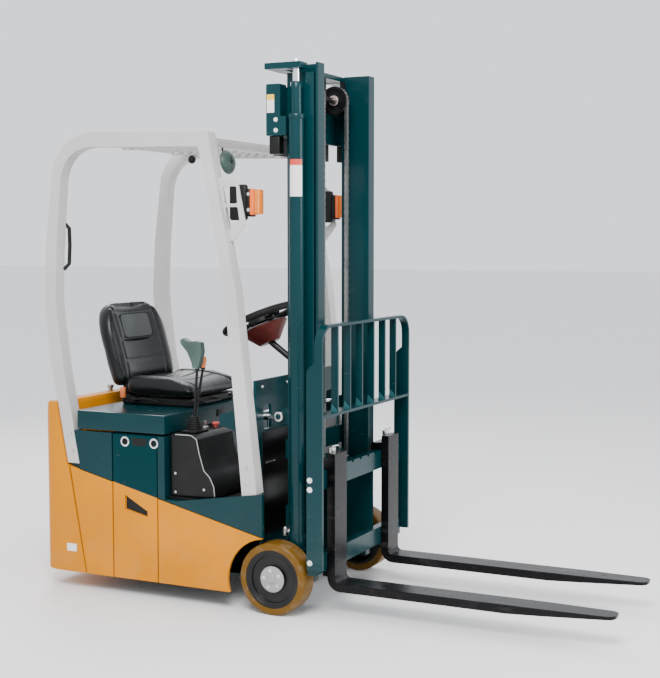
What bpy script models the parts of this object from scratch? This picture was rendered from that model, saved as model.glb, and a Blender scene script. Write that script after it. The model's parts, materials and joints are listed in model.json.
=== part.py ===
"""Small three-wheel electric counterbalance forklift, built as separate pieces.

X points forward along the forks, Y to the driver's left, Z up, and the wheels stand on Z = 0.
Everything is laid out from the front axle line at X = 0; one empty then shifts the whole truck so
that the origin lies on the ground under the middle of its length.
"""
from math import cos, radians, sin, sqrt, tan

import bmesh
import bpy
from mathutils import Matrix, Vector

# ------------------------------------------------------------------ driving dimensions (metres)
GAP = 0.0003                # between pieces that touch
RUNNING = 0.006             # between pieces that move past each other

WHEEL_R = 0.1495            # front tyre radius, which is also the height of the front axle
WHEEL_W = 0.095
TRACK_OUTER = 0.461         # half width over the front tyres
TYRE_BAND = 0.029           # thickness of the polyurethane band
WHEEL_STEPS = 32
STUB_R = 0.025              # front stub axle
HUB_R = 0.056
PIVOT_PIN_R = 0.020         # mast tilt pin, on the axle line

DRIVE_X = -0.930            # rear drive wheel and steering axis
DRIVE_R = 0.125
DRIVE_W = 0.085

BODY_HALF = 0.465           # half width over the body panels
PANEL = 0.015               # thickness of the outer covers
PLATE = 0.012               # thickness of the chassis plates
BODY_BOTTOM = 0.075
TAIL_X = -1.171
TAIL_ROUND = 0.100          # plan radius of the tail's corners
TAIL_LEAN_Z = 0.400         # the tail leans forward above this height
TAIL_LEAN = 0.037
TAIL_TOP = 0.825
BAY_TOP = 0.705             # top of the chassis sides, under the hood
HOOD_TOP = 0.795
HOOD_FRONT = -0.508
HOOD_REAR = -0.962
HOOD_WALL = 0.006
SEAM_REAR = -0.776          # upright seams of the battery door
SEAM_FRONT = -0.547
SEAM = 0.006
BATTERY_LENGTH = 0.205
BATTERY_HEIGHT = 0.560
ARCH_R = 0.184              # front wheel arch
ARCH_CENTRE = (-0.020, 0.130)
CORNER_X = -0.041           # front end of the sill
SILL_REAR_X = -0.447
SILL_REAR_Z = 0.436
SILL_FRONT_Z = 0.498
STRIPE_FRONT_Z = 0.318      # the slanted line between the yellow and the teal
STRIPE_SLOPE = -0.2403
FLOOR_Z = 0.449
BULKHEAD_X = -0.105         # front face of the upright plate behind the mast
BULKHEAD_TOP = 0.955

GUARD_HALF = 0.458          # half width over the overhead guard
GUARD_TUBE = 0.060
GUARD_TOP = 1.993
GUARD_FRONT_TOP = 1.977
SLATS = 9

MAST_HALF = 0.282           # half width over the mast rails
MAST_FRONT = 0.125
MAST_TOP = 2.253
MAST_FOOT = 0.110
CROWN_Z = 2.226             # underside of the plate over the lift rods
OUTER_TOP = 2.215
FLANGE = 0.012
CYLINDER_R = 0.034
CYLINDER_Y = 0.3205
CYLINDER_X = 0.046
ROD_R = 0.0145
SHEAVE_Y = 0.115
SHEAVE_X = 0.012
SHEAVE_Z = 2.137
SHEAVE_R = 0.055
CHAIN_T = 0.016
CHAIN_W = 0.022

TILT_PIN_X = -0.045         # where the tilt rods hold the mast
TILT_PIN_Z = 0.800
TILT_ANCHOR_X = -0.290
TILT_ANCHOR_Z = 0.775
TILT_Y = 0.303
TILT_R = 0.024
TILT_ROD_R = 0.012
TILT_PIN_R = 0.010

FORK_LENGTH = 1.150
FORK_W = 0.115
FORK_T = 0.035
FORK_TOP = 0.130
FORK_INNER = 0.218
SHANK_FRONT = 0.226
SHANK_TOP = 0.664
BAR_T = 0.036               # carriage bars, front to back
BAR_HALF = 0.4395
UPPER_BAR = (0.520, 0.600)
ARM_TOP = 0.575             # top of the roller arms, below the hooks of the forks
LOWER_BAR = (0.180, 0.255)
BACKREST_HALF = 0.455
BACKREST_TOP = 1.195
BACKREST_ROUND = 0.085
BACKREST_BAR = 0.012
BACKREST_DEPTH = 0.034
BACKREST_FRONT = 0.227
SHELF_Z = 0.826

SEAT_W = 0.460
STEER_X = -0.300
STEER_Z = 1.185
STEER_TILT = radians(24)
STEER_R = 0.165
STEER_TUBE = 0.016

# ------------------------------------------------------------------ sizes that follow from those
AXLE_Z = WHEEL_R
BAY_R = sqrt(DRIVE_R ** 2 + (DRIVE_W / 2) ** 2) + 0.018
WHEEL_INNER = TRACK_OUTER - WHEEL_W
FORK_TIP = SHANK_FRONT + FORK_LENGTH
SHANK_BACK = SHANK_FRONT - FORK_T
FORK_Y = FORK_INNER + FORK_W / 2
BAR_FRONT = SHANK_BACK - 0.001
SIDE_INNER = BODY_HALF - PANEL - GAP
AXLE_X = -(FORK_TIP + TAIL_X) / 2
CHAIN_X = SHEAVE_X + SHEAVE_R
CHAIN_REAR = SHEAVE_X - SHEAVE_R
CHAIN_END = 2.000           # where the rear ends of the chains are held
TIE_FRONT = CHAIN_REAR - CHAIN_T / 2 - RUNNING

# ------------------------------------------------------------------ scene, collections, finishes
for old in list(bpy.data.objects):
    bpy.data.objects.remove(old, do_unlink=True)

PARTS = bpy.data.collections.new("forklift")
HELPERS = bpy.data.collections.new("cutters")
for collection in (PARTS, HELPERS):
    bpy.context.scene.collection.children.link(collection)

TRUCK = bpy.data.objects.new("truck_origin", None)
TRUCK.location = (AXLE_X, 0, 0)
PARTS.objects.link(TRUCK)


def finish(name, colour, roughness, metallic=0.0):
    """A plain Principled material."""
    material = bpy.data.materials.new(name)
    material.use_nodes = True
    shader = material.node_tree.nodes["Principled BSDF"]
    shader.inputs["Base Color"].default_value = (*colour, 1)
    shader.inputs["Roughness"].default_value = roughness
    shader.inputs["Metallic"].default_value = metallic
    return material


YELLOW = finish("yellow_paint", (0.95, 0.45, 0.02), 0.35)
TEAL = finish("teal_paint", (0.01, 0.08, 0.09), 0.30)
GREY = finish("guard_paint", (0.60, 0.59, 0.57), 0.45)
BLACK = finish("black_steel", (0.015, 0.015, 0.017), 0.40)
PLASTIC = finish("black_plastic", (0.02, 0.02, 0.02), 0.55)
VINYL = finish("seat_vinyl", (0.015, 0.018, 0.018), 0.40)
AMBER = finish("tyre_polyurethane", (0.55, 0.28, 0.03), 0.45)
CHROME = finish("chrome", (0.80, 0.80, 0.82), 0.12, 1.0)
STEEL = finish("bare_steel", (0.35, 0.35, 0.36), 0.40, 1.0)
LAMP = finish("lamp", (0.85, 0.35, 0.08), 0.20)


# ------------------------------------------------------------------ making shapes
def bake(source):
    """Turn a temporary object into a welded mesh and remove the object."""
    bpy.context.view_layer.update()
    evaluated = source.evaluated_get(bpy.context.evaluated_depsgraph_get())
    mesh = bpy.data.meshes.new_from_object(evaluated)
    mesh.transform(source.matrix_world)
    bpy.data.objects.remove(source, do_unlink=True)
    work = bmesh.new()
    work.from_mesh(mesh)
    bmesh.ops.remove_doubles(work, verts=work.verts, dist=0.00005)
    bmesh.ops.recalc_face_normals(work, faces=work.faces)
    work.to_mesh(mesh)
    work.free()
    return mesh


def temporary(name, data):
    source = bpy.data.objects.new(name, data)
    bpy.context.scene.collection.objects.link(source)
    return source


def box(low, high, bevel=0.0, segments=2):
    """A box from corner to corner, with its edges rounded if asked."""
    work = bmesh.new()
    bmesh.ops.create_cube(work, size=1)
    size = [high[i] - low[i] for i in range(3)]
    middle = [(high[i] + low[i]) / 2 for i in range(3)]
    bmesh.ops.scale(work, vec=size, verts=work.verts)
    bmesh.ops.translate(work, vec=middle, verts=work.verts)
    if bevel:
        bmesh.ops.bevel(work, geom=work.edges[:], offset=bevel, segments=segments,
                        affect="EDGES", profile=0.5)
    mesh = bpy.data.meshes.new("box")
    work.to_mesh(mesh)
    work.free()
    return mesh


def rod(start, end, radius, sides=24, radius_end=None):
    """A cylinder or cone between two points."""
    start, end = Vector(start), Vector(end)
    work = bmesh.new()
    bmesh.ops.create_cone(work, cap_ends=True, segments=sides, radius1=radius,
                          radius2=radius if radius_end is None else radius_end,
                          depth=(end - start).length)
    turn = Vector((0, 0, 1)).rotation_difference(end - start).to_matrix().to_4x4()
    bmesh.ops.transform(work, matrix=Matrix.Translation((start + end) / 2) @ turn, verts=work.verts)
    mesh = bpy.data.meshes.new("rod")
    work.to_mesh(mesh)
    work.free()
    return mesh


PLANES = {"xz": Matrix(((1, 0, 0, 0), (0, 0, -1, 0), (0, 1, 0, 0), (0, 0, 0, 1))),
          "yz": Matrix(((0, 0, 1, 0), (1, 0, 0, 0), (0, 1, 0, 0), (0, 0, 0, 1))),
          "xy": Matrix.Identity(4)}
NORMAL = {"xz": Vector((0, 1, 0)), "yz": Vector((1, 0, 0)), "xy": Vector((0, 0, 1))}


def slab(loops, plane, near, far):
    """A flat outline, with further loops as holes, filled and given a thickness near to far."""
    curve = bpy.data.curves.new("outline", "CURVE")
    curve.dimensions = "2D"
    curve.fill_mode = "BOTH"
    curve.extrude = abs(far - near) / 2
    for loop in loops:
        spline = curve.splines.new("POLY")
        spline.points.add(len(loop) - 1)
        for point, (across, up) in zip(spline.points, loop):
            point.co = (across, up, 0, 1)
        spline.use_cyclic_u = True
    source = temporary("outline", curve)
    source.matrix_world = Matrix.Translation(NORMAL[plane] * (near + far) / 2) @ PLANES[plane]
    return bake(source)


def arc(centre, radius, start, end, steps):
    """Points on an arc, in degrees, both ends included."""
    angles = [radians(start + (end - start) * i / steps) for i in range(steps + 1)]
    return [(centre[0] + radius * cos(a), centre[1] + radius * sin(a)) for a in angles]


def circle(centre, radius, sides=20):
    return arc(centre, radius, 0, 360 - 360 / sides, sides - 1)


def rounded(corners, radius, steps=4):
    """A closed outline with every corner rounded by an arc."""
    points = []
    count = len(corners)
    for i, corner in enumerate(corners):
        here = Vector(corner)
        back = (Vector(corners[i - 1]) - here).normalized()
        ahead = (Vector(corners[(i + 1) % count]) - here).normalized()
        half = back.angle(ahead) / 2
        centre = here + (back + ahead).normalized() * radius / sin(half)
        first = here + back * radius / tan(half) - centre
        last = here + ahead * radius / tan(half) - centre
        turn = first.angle_signed(last)
        for k in range(steps + 1):
            angle = turn * k / steps
            spoke = Vector((first.x * cos(angle) + first.y * sin(angle),
                            first.y * cos(angle) - first.x * sin(angle)))
            points.append(tuple(centre + spoke))
    return points


def turned(profile, axis, centre, steps=40):
    """A profile of (radius, height) points, outer side first and downwards, spun into a solid."""
    mesh = bpy.data.meshes.new("profile")
    count = len(profile)
    touches_axis = profile[0][0] == 0 and profile[-1][0] == 0
    edges = [(i, (i + 1) % count) for i in range(count - 1 if touches_axis else count)]
    mesh.from_pydata([(r, 0, h) for r, h in profile], edges, [])
    source = temporary("profile", mesh)
    spin = source.modifiers.new("spin", "SCREW")
    spin.steps = steps
    spin.render_steps = steps
    spin.use_merge_vertices = True
    spin.merge_threshold = 0.00005
    turn = Vector((0, 0, 1)).rotation_difference(Vector(axis)).to_matrix().to_4x4()
    source.matrix_world = Matrix.Translation(centre) @ turn
    return bake(source)


def piece(name, mesh, material, origin=(0, 0, 0), add=(), cut=(), keep=()):
    """Name a solid, put its origin on its joint or seat, and join or cut other shapes."""
    mesh.transform(Matrix.Translation(-Vector(origin)))
    made = bpy.data.objects.new(name, mesh)
    made.location = origin
    made.parent = TRUCK
    PARTS.objects.link(made)
    mesh.materials.clear()
    mesh.materials.append(material)
    steps = [("UNION", m) for m in add] + [("INTERSECT", m) for m in keep]
    steps += [("DIFFERENCE", m) for m in cut]
    for operation, other in steps:
        helper = bpy.data.objects.new(name + "_" + operation.lower(), other)
        helper.parent = TRUCK
        helper.hide_render = True
        helper.display_type = "WIRE"
        HELPERS.objects.link(helper)
        boolean = made.modifiers.new(operation.lower(), "BOOLEAN")
        boolean.operation = operation
        boolean.object = helper
    mesh.shade_smooth()
    mesh.set_sharp_from_angle(angle=radians(35))
    return made


def both(low, high, bevel=0.0):
    """The same box on the right and on the left, given on the left."""
    right = box((low[0], -high[1], low[2]), (high[0], -low[1], high[2]), bevel)
    return [box(low, high, bevel), right]


def span(side, inner, outer):
    """Low and high Y of a plate that lies between two distances from the centre plane."""
    return (inner, outer) if side > 0 else (-outer, -inner)


SIDES = ((-1, "right"), (1, "left"))


def stripe_z(x):
    """Height of the slanted colour line at a given X."""
    return STRIPE_FRONT_Z + STRIPE_SLOPE * (x - CORNER_X)


def sill_z(x):
    """Height of the top edge of the sill."""
    share = (x - SILL_REAR_X) / (CORNER_X - SILL_REAR_X)
    return SILL_REAR_Z + (SILL_FRONT_Z - SILL_REAR_Z) * share


SHUT_TOP = (-1.044, 0.741)      # the slanted seam between the counterweight and the side covers
SHUT_BOTTOM = (-0.924, 0.081)


def shut_x(z):
    share = (z - SHUT_BOTTOM[1]) / (SHUT_TOP[1] - SHUT_BOTTOM[1])
    return SHUT_BOTTOM[0] + (SHUT_TOP[0] - SHUT_BOTTOM[0]) * share


# ------------------------------------------------------------------ chassis
CHASSIS_SIDE = SIDE_INNER - GAP         # outer face of the chassis side plates
WALL_FRONT = HOOD_FRONT - 0.004         # front face of the wall between battery and foot well
DECK_Z = 0.450                          # underside of the deck that carries the drive unit
CHASSIS_REAR = shut_x(0.10) + 0.004


def chassis():
    half = CHASSIS_SIDE
    arch = arc(ARCH_CENTRE, ARCH_R + 0.010, 190, 110, 6)
    low = [(CHASSIS_REAR, 0.100), (arch[0][0] + 0.002, 0.099)] + arch[1:]
    front_x = arch[-1][0]
    quarter = [(front_x, SILL_REAR_Z - 0.03), (WALL_FRONT, SILL_REAR_Z - 0.03), (WALL_FRONT, BAY_TOP),
               (leg_front_x(BAY_TOP) + RUNNING, BAY_TOP), (leg_front_x(LEG_FOOT) + RUNNING, LEG_FOOT),
               (CHASSIS_REAR, 0.42)]
    door_hole = [(SEAM_REAR + 0.020, 0.125), (SEAM_FRONT - 0.020, 0.125),
                 (SEAM_FRONT - 0.020, BAY_TOP - 0.075), (SEAM_REAR + 0.020, BAY_TOP - 0.075)]
    skins = []
    for side, _ in SIDES:
        skins.append(slab([low + quarter, door_hole], "xz", *span(side, half - PLATE, half)))
        skins.append(slab([upper_quarter()], "xz", *span(side, half - 0.002, BODY_HALF)))
        skins.append(slab([sill()], "xz", *span(side, half - 0.002, BODY_HALF)))
    slots = []
    for side, _ in SIDES:
        inner, outer = span(side, MAST_HALF - 0.018, TILT_Y + 0.029)
        slots.append(rounded([(inner, 0.745), (outer, 0.745), (outer, 0.848), (inner, 0.848)], 0.012, 3))
    wide, narrow = half - 0.001, GUARD_HALF - GUARD_TUBE - GAP
    shoulder = sill_z(BULKHEAD_X - PLATE) - 0.001
    outline = [(-wide, 0.100), (wide, 0.100), (wide, shoulder), (narrow, shoulder),
               (narrow, BULKHEAD_TOP), (-narrow, BULKHEAD_TOP), (-narrow, shoulder), (-wide, shoulder)]
    wheel_cuts = both((BULKHEAD_X - 0.02, WHEEL_INNER - 0.012, 0.0),
                      (BULKHEAD_X + 0.01, 0.50, AXLE_Z + ARCH_R - 0.025))
    bulkhead = slab([outline] + slots, "yz", BULKHEAD_X - PLATE, BULKHEAD_X)
    inside = half - 0.002
    bottom_rear = SEAM_REAR - 0.004
    walls = [box((WALL_FRONT - PLATE, -inside, 0.100), (WALL_FRONT, inside, BAY_TOP)),
             box((bottom_rear - PLATE, -inside, 0.100), (bottom_rear, inside, BAY_TOP)),
             box((bottom_rear - 0.002, -inside, 0.088), (WALL_FRONT - 0.002, inside, 0.104)),
             box((shut_x(DECK_Z) + 0.012, -inside, DECK_Z), (bottom_rear - 0.002, inside, DECK_Z + 0.014)),
             box((WALL_FRONT - 0.002, -0.30, 0.100), (BULKHEAD_X - 0.002, 0.30, 0.112)),
             box((WALL_FRONT - 0.002, -inside, FLOOR_Z - 0.030), (BULKHEAD_X - 0.002, inside,
                                                                 FLOOR_Z - PLATE - GAP))]
    ears = both((LEG_FOOT_X, GUARD_HALF - GUARD_TUBE + 0.002, LEG_FOOT - 0.030),
                (LEG_FOOT_X + 0.070, half - 0.001, LEG_FOOT - GAP))
    for side, _ in SIDES:
        gusset = rounded([(BULKHEAD_X - 0.006, 0.700), (BULKHEAD_X - 0.006, 0.850),
                          (TILT_ANCHOR_X - 0.022, TILT_ANCHOR_Z + 0.024),
                          (TILT_ANCHOR_X - 0.022, TILT_ANCHOR_Z - 0.024)], 0.003, 2)
        inner = TILT_Y + TILT_R + 0.006
        ears.append(slab([gusset], "xz", *span(side, inner, inner + 0.010)))
        ears.append(rod((TILT_ANCHOR_X, side * (TILT_Y - 0.020), TILT_ANCHOR_Z),
                        (TILT_ANCHOR_X, side * (inner + 0.005), TILT_ANCHOR_Z), TILT_PIN_R, 16))
    piece("chassis_frame", bulkhead, TEAL, add=skins + walls + ears, cut=wheel_cuts)


def upper_quarter():
    """Teal side skin above the colour line, behind the battery door, beside the guard's rear leg."""
    low_x = leg_front_x(LEG_FOOT) + 0.004
    return [(leg_front_x(BAY_TOP) + 0.004, BAY_TOP), (low_x, LEG_FOOT), (low_x, stripe_z(low_x)),
            (SEAM_REAR - SEAM / 2, stripe_z(SEAM_REAR) + 0.001), (SEAM_REAR - SEAM / 2, BAY_TOP)]


def sill():
    """Teal skin of the sill, with the narrow upright in front of the battery door."""
    front = SEAM_FRONT + SEAM / 2
    return [(front, stripe_z(front) + 0.001), (CORNER_X, stripe_z(CORNER_X) + 0.001),
            (CORNER_X, SILL_FRONT_Z), (SILL_REAR_X, SILL_REAR_Z), (WALL_FRONT + 0.002, SILL_REAR_Z),
            (WALL_FRONT + 0.002, BAY_TOP), (front, BAY_TOP)]


# the guard's rear leg, as its front and rear edges at some heights
LEG = ((0.550, -1.014, -0.952), (0.790, -1.060, -0.998), (0.980, -1.098, -1.035),
       (1.170, -1.122, -1.060), (1.275, -1.131, -1.071), (1.500, -1.120, -1.062), (1.795, -1.092, -1.037))
LEG_FOOT = 0.558
LEG_FOOT_X = -1.000


def leg_front_x(z):
    """Front edge of the guard's rear leg at a height below the bend."""
    for low, high in zip(LEG, LEG[1:]):
        if z <= high[0]:
            break
    share = (z - low[0]) / (high[0] - low[0])
    return low[2] + (high[2] - low[2]) * share


def battery():
    front = WALL_FRONT - PLATE - 0.010
    low = (front - BATTERY_LENGTH, -0.425, 0.104 + GAP)
    high = (front, 0.425, 0.104 + GAP + BATTERY_HEIGHT)
    piece("battery", box(low, high, 0.004, 1), PLASTIC)


# ------------------------------------------------------------------ covers
def counterweight():
    round_rear = arc((TAIL_X + TAIL_ROUND, BODY_HALF - TAIL_ROUND), TAIL_ROUND, 90, 180, 6)
    round_rear += arc((TAIL_X + TAIL_ROUND, TAIL_ROUND - BODY_HALF), TAIL_ROUND, 180, 270, 6)
    plan = round_rear + [(-0.85, -BODY_HALF), (-0.85, BODY_HALF)]
    body = slab([plan], "xy", BODY_BOTTOM, TAIL_TOP)
    lip = 0.030
    profile = [(TAIL_X - 0.01, BODY_BOTTOM - 0.01), (shut_x(BODY_BOTTOM - 0.01), BODY_BOTTOM - 0.01),
               (shut_x(0.62), 0.62), (shut_x(TAIL_TOP) + 0.016, TAIL_TOP + 0.01 - lip),
               (shut_x(TAIL_TOP) - 0.004, TAIL_TOP + 0.01),
               (TAIL_X + TAIL_LEAN + 0.022, TAIL_TOP + 0.01), (TAIL_X + TAIL_LEAN - 0.003, TAIL_TOP - 0.020),
               (TAIL_X - 0.01, TAIL_LEAN_Z - 0.08)]
    keep = slab([profile], "xz", -0.5, 0.5)
    bay = [rod((DRIVE_X, 0, 0), (DRIVE_X, 0, 0.62), BAY_R, 32)]
    slots = []
    for side, _ in SIDES:
        leg = [(rear - 0.004, z) for z, rear, _ in LEG[:4]]
        leg += [(front + 0.30, z) for z, _, front in reversed(LEG[:4])]
        slots.append(slab([leg], "xz", *span(side, GUARD_HALF - GUARD_TUBE - 0.006, 0.52)))
    piece("counterweight", body, YELLOW, keep=[keep], cut=bay + slots)


def skirts():
    inner, outer = BODY_HALF - PANEL, BODY_HALF
    for side, hand in SIDES:
        rear = [(shut_x(BODY_BOTTOM) + SEAM, BODY_BOTTOM), (SEAM_REAR - SEAM / 2, BODY_BOTTOM),
                (SEAM_REAR - SEAM / 2, stripe_z(SEAM_REAR) - SEAM / 2),
                (shut_x(0.53) + SEAM, stripe_z(shut_x(0.53)) - SEAM / 2 - 0.002)]
        piece("skirt_rear_" + hand, slab([rear], "xz", *span(side, inner, outer)), YELLOW)
        arch = arc(ARCH_CENTRE, ARCH_R, 197.4, 97, 10)
        front_x = SEAM_FRONT + SEAM / 2
        front = [(front_x, BODY_BOTTOM)] + arch
        front += [(CORNER_X, stripe_z(CORNER_X) - SEAM / 2), (front_x, stripe_z(front_x) - SEAM / 2)]
        piece("skirt_front_" + hand, slab([front], "xz", *span(side, inner, outer)), YELLOW)


def battery_doors():
    """Side doors of the battery bay, with two ringed vents and a hand hold."""
    low_x, high_x = SEAM_REAR + SEAM / 2, SEAM_FRONT - SEAM / 2
    top = BAY_TOP - 0.003
    outline = [(low_x, BODY_BOTTOM), (high_x, BODY_BOTTOM), (high_x, top), (low_x, top)]
    vents = [circle((x, 0.679 - 0.006), 0.015, 16) for x in (-0.709, -0.572)]
    hold = [(-0.713, 0.378), (-0.598, 0.352), (-0.598, 0.378), (-0.713, 0.441)]
    for side, hand in SIDES:
        door = slab([outline] + vents, "xz", *span(side, BODY_HALF - PANEL, BODY_HALF))
        recess = slab([hold], "xz", *span(side, BODY_HALF - 0.010, BODY_HALF + 0.01))
        piece("battery_door_" + hand, door, YELLOW, origin=(high_x, side * BODY_HALF, 0), cut=[recess])


def hood():
    """Sheet lid over the battery, which carries the seat."""
    low_z = BAY_TOP + 0.007
    shell = box((HOOD_REAR, -BODY_HALF, low_z), (HOOD_FRONT, BODY_HALF, HOOD_TOP), 0.008)
    under = box((HOOD_REAR + HOOD_WALL, HOOD_WALL - BODY_HALF, low_z - 0.02),
                (HOOD_FRONT - HOOD_WALL, BODY_HALF - HOOD_WALL, HOOD_TOP - HOOD_WALL))
    notch = both((HOOD_REAR - 0.05, GUARD_HALF - GUARD_TUBE - 0.006, 0.60),
                 (HOOD_REAR + 0.004, 0.50, 0.90))
    piece("hood", shell, TEAL, origin=(HOOD_REAR, 0, HOOD_TOP), cut=[under] + notch)


# ------------------------------------------------------------------ seat and controls
SEAT_X = -0.720


def seat():
    half = SEAT_W / 2
    base = box((SEAT_X - 0.190, -0.200, HOOD_TOP + GAP), (SEAT_X + 0.170, 0.200, HOOD_TOP + 0.038), 0.008)
    piece("seat_base", base, PLASTIC)
    bottom = HOOD_TOP + 0.038 + GAP
    cushion = box((SEAT_X - 0.150, -half, bottom), (SEAT_X + 0.200, half, bottom + 0.095), 0.035, 3)
    piece("seat_cushion", cushion, VINYL)
    lean = radians(16)
    back = box((-0.050, -half, 0), (0.050, half, 0.385), 0.040, 3)
    hinge = Matrix.Translation((SEAT_X - 0.189, 0, bottom + 0.030)) @ Matrix.Rotation(-lean, 4, "Y")
    back.transform(hinge)
    piece("seat_back", back, VINYL)


CONSOLE_X = HOOD_FRONT + 0.010


def console():
    """Black moulding beside the driver's legs, right of the foot well, with the levers on top."""
    floor = FLOOR_Z + GAP
    outline = [(CONSOLE_X, floor), (-0.274, floor)]
    outline += arc((-0.400, 0.470), 0.122, 0, 55, 4)
    outline += [(-0.352, 0.640), (-0.364, 0.700), (-0.385, 0.716), (CONSOLE_X, 0.716)]
    outline[1] = (-0.276, floor)
    shell = slab([outline], "xz", -0.442, -0.135)
    piece("side_console", shell, PLASTIC)
    levers = slab([rounded([(-0.470, -0.400), (-0.395, -0.400), (-0.395, -0.300), (-0.470, -0.300)], 0.02)],
                  "xy", 0.716 + GAP, 0.728)
    gaiter = rod((-0.430, -0.350, 0.722), (-0.424, -0.350, 0.790), 0.036, 20, 0.016)
    stems = [rod((-0.428, y, 0.770), (x, y, 1.010), 0.006, 10)
             for x, y in ((-0.405, -0.365), (-0.400, -0.335))]
    knobs = [rod((x - 0.003, y, 0.985), (x - 0.018, y, 1.085), 0.013, 14, 0.020)
             for x, y in ((-0.405, -0.365), (-0.400, -0.335))]
    piece("control_levers", levers, PLASTIC, add=[gaiter] + stems + knobs)


def floor_and_pedals():
    low = (WALL_FRONT + GAP, 0.002 - CHASSIS_SIDE + PLATE, FLOOR_Z - PLATE)
    high = (BULKHEAD_X - PLATE - GAP, CHASSIS_SIDE - PLATE - 0.002, FLOOR_Z)
    piece("floor_plate", box(low, high), BLACK)
    foot = FLOOR_Z + GAP
    bar = box((-0.150, -0.110, foot), (-0.125, 0.110, foot + 0.020))
    arms = [rod((-0.137, y, foot + 0.010), (-0.175, y, foot + 0.105), 0.008, 10) for y in (-0.085, 0.080)]
    pads = []
    for y in (-0.085, 0.080):
        pad = box((-0.008, -0.030, -0.045), (0.008, 0.030, 0.045), 0.004, 1)
        pad.transform(Matrix.Translation((-0.178, y, foot + 0.110)) @ Matrix.Rotation(radians(-35), 4, "Y"))
        pads.append(pad)
    piece("pedals", bar, PLASTIC, add=arms + pads)


def steering():
    """Column and cowl on the upright plate, and the steering wheel above."""
    axis = Vector((-sin(STEER_TILT), 0, cos(STEER_TILT)))
    hub = Vector((STEER_X, 0, STEER_Z))
    base_x = BULKHEAD_X - PLATE - 0.001
    cowl = slab([rounded([(base_x + 0.020, BULKHEAD_TOP + GAP), (base_x + 0.020, BULKHEAD_TOP + 0.022),
                          (hub.x + 0.075, hub.z - 0.075), (hub.x + 0.015, hub.z - 0.100),
                          (base_x - 0.030, BULKHEAD_TOP + GAP)], 0.006, 2)],
                "xz", -0.036, 0.036)
    bowl = rod(hub - axis * 0.112, hub - axis * 0.040, 0.048, 24, 0.108)
    piece("steering_column", cowl, PLASTIC, add=[bowl])
    centre_pad = rod(hub - axis * 0.026, hub + axis * 0.020, 0.062, 22)
    ring = [(STEER_R + STEER_TUBE * cos(a), STEER_TUBE * sin(a))
            for a in (radians(-45 * i) for i in range(8))]
    spokes = []
    for angle in (90, 210, 330):
        spoke = box((0.030, -0.013, -0.010), (STEER_R - 0.004, 0.013, -0.001))
        turn = Vector((0, 0, 1)).rotation_difference(axis).to_matrix().to_4x4()
        spoke.transform(Matrix.Translation(hub) @ turn @ Matrix.Rotation(radians(angle), 4, "Z"))
        spokes.append(spoke)
    piece("steering_wheel", turned(ring, axis, hub, 24), PLASTIC, origin=hub, add=[centre_pad] + spokes)


# ------------------------------------------------------------------ overhead guard
def guard_outline():
    """Side frame of the guard: front leg, roof rail, rounded rear bend and curved rear leg."""
    outer = [(-0.070, sill_z(-0.070) + GAP), (-0.165, 1.333), (-0.259, 1.790),
             (-0.291, GUARD_FRONT_TOP), (-0.840, GUARD_TOP)]
    outer += bend(((-0.840, GUARD_TOP), (-1.050, GUARD_TOP + 0.006), (LEG[-1][1], LEG[-1][0])), 8)
    outer += [(rear, z) for z, rear, _ in reversed(LEG[1:-1])]
    outer += [(leg_front_x(LEG_FOOT) - 0.0625, LEG_FOOT), (leg_front_x(LEG_FOOT), LEG_FOOT)]
    inner = [(front, z) for z, _, front in LEG[1:]]
    inner += bend(((LEG[-1][2], LEG[-1][0]), (-1.010, GUARD_TOP - 0.058), (-0.850, GUARD_TOP - 0.060)), 8)
    inner += [(-0.340, GUARD_FRONT_TOP - GUARD_TUBE), (-0.308, 1.790), (-0.218, 1.333),
              (-0.139, sill_z(-0.139) + GAP)]
    return outer + inner


def bend(control, steps):
    """Inner points of a quadratic curve through a corner."""
    start, corner, end = (Vector(c) for c in control)
    points = []
    for i in range(1, steps):
        t = i / steps
        points.append(tuple(start * (1 - t) ** 2 + corner * 2 * t * (1 - t) + end * t * t))
    return points


def overhead_guard():
    inner = GUARD_HALF - GUARD_TUBE
    for side, hand in SIDES:
        frame = slab([guard_outline()], "xz", *span(side, inner, GUARD_HALF))
        slope = (-0.259 + 0.165) / (1.790 - 1.333)
        leg_x = [-0.165 + slope * (z - 1.333) for z in (1.530, 1.790)]
        plate = rounded([(leg_x[0] - 0.02, 1.530), (leg_x[0] + 0.020, 1.530), (leg_x[0] + 0.075, 1.600),
                         (leg_x[1] + 0.095, 1.760), (leg_x[1] + 0.060, 1.790), (leg_x[1] - 0.02, 1.790)],
                        0.006, 2)
        windows = [rounded([(-0.218, 1.570), (-0.160, 1.612), (-0.168, 1.668), (-0.226, 1.668)], 0.006, 2),
                   rounded([(-0.228, 1.682), (-0.170, 1.682), (-0.174, 1.752), (-0.236, 1.752)], 0.006, 2)]
        bracket = slab([plate] + windows, "xz", *span(side, GUARD_HALF - 0.034, GUARD_HALF - 0.028))
        piece("guard_side_" + hand, frame, GREY, add=[bracket])
    reach = inner - GAP
    front = box((-0.395, -reach, 1.925), (-0.335, reach, 1.950))
    rear = box((-0.925, -reach, 1.945), (-0.865, reach, 1.975))
    stringers = [box((-0.880, y - 0.012, 1.932), (-0.380, y + 0.012, 1.948)) for y in (-0.200, 0.200)]
    slats = []
    for i in range(SLATS):
        x = -0.430 - 0.048 * i
        slats.append(box((x - 0.006, -reach, 1.944), (x + 0.006, reach, 1.974)))
    piece("guard_roof", front, GREY, add=[rear] + stringers + slats)
    face = rod((-0.322, -0.250, 1.862), (-0.302, -0.250, 1.866), 0.052, 24)
    post = box((-0.350, -0.256, 1.880), (-0.308, -0.244, 1.925 - GAP))
    piece("round_mirror", face, PLASTIC, add=[post])


def headlamps():
    for side, hand in SIDES:
        inner, outer = span(side, 0.380, 0.4235)
        piece("headlamp_" + hand, box((-0.142, inner, 1.628), (-0.070, outer, 1.748), 0.010), LAMP)


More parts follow.
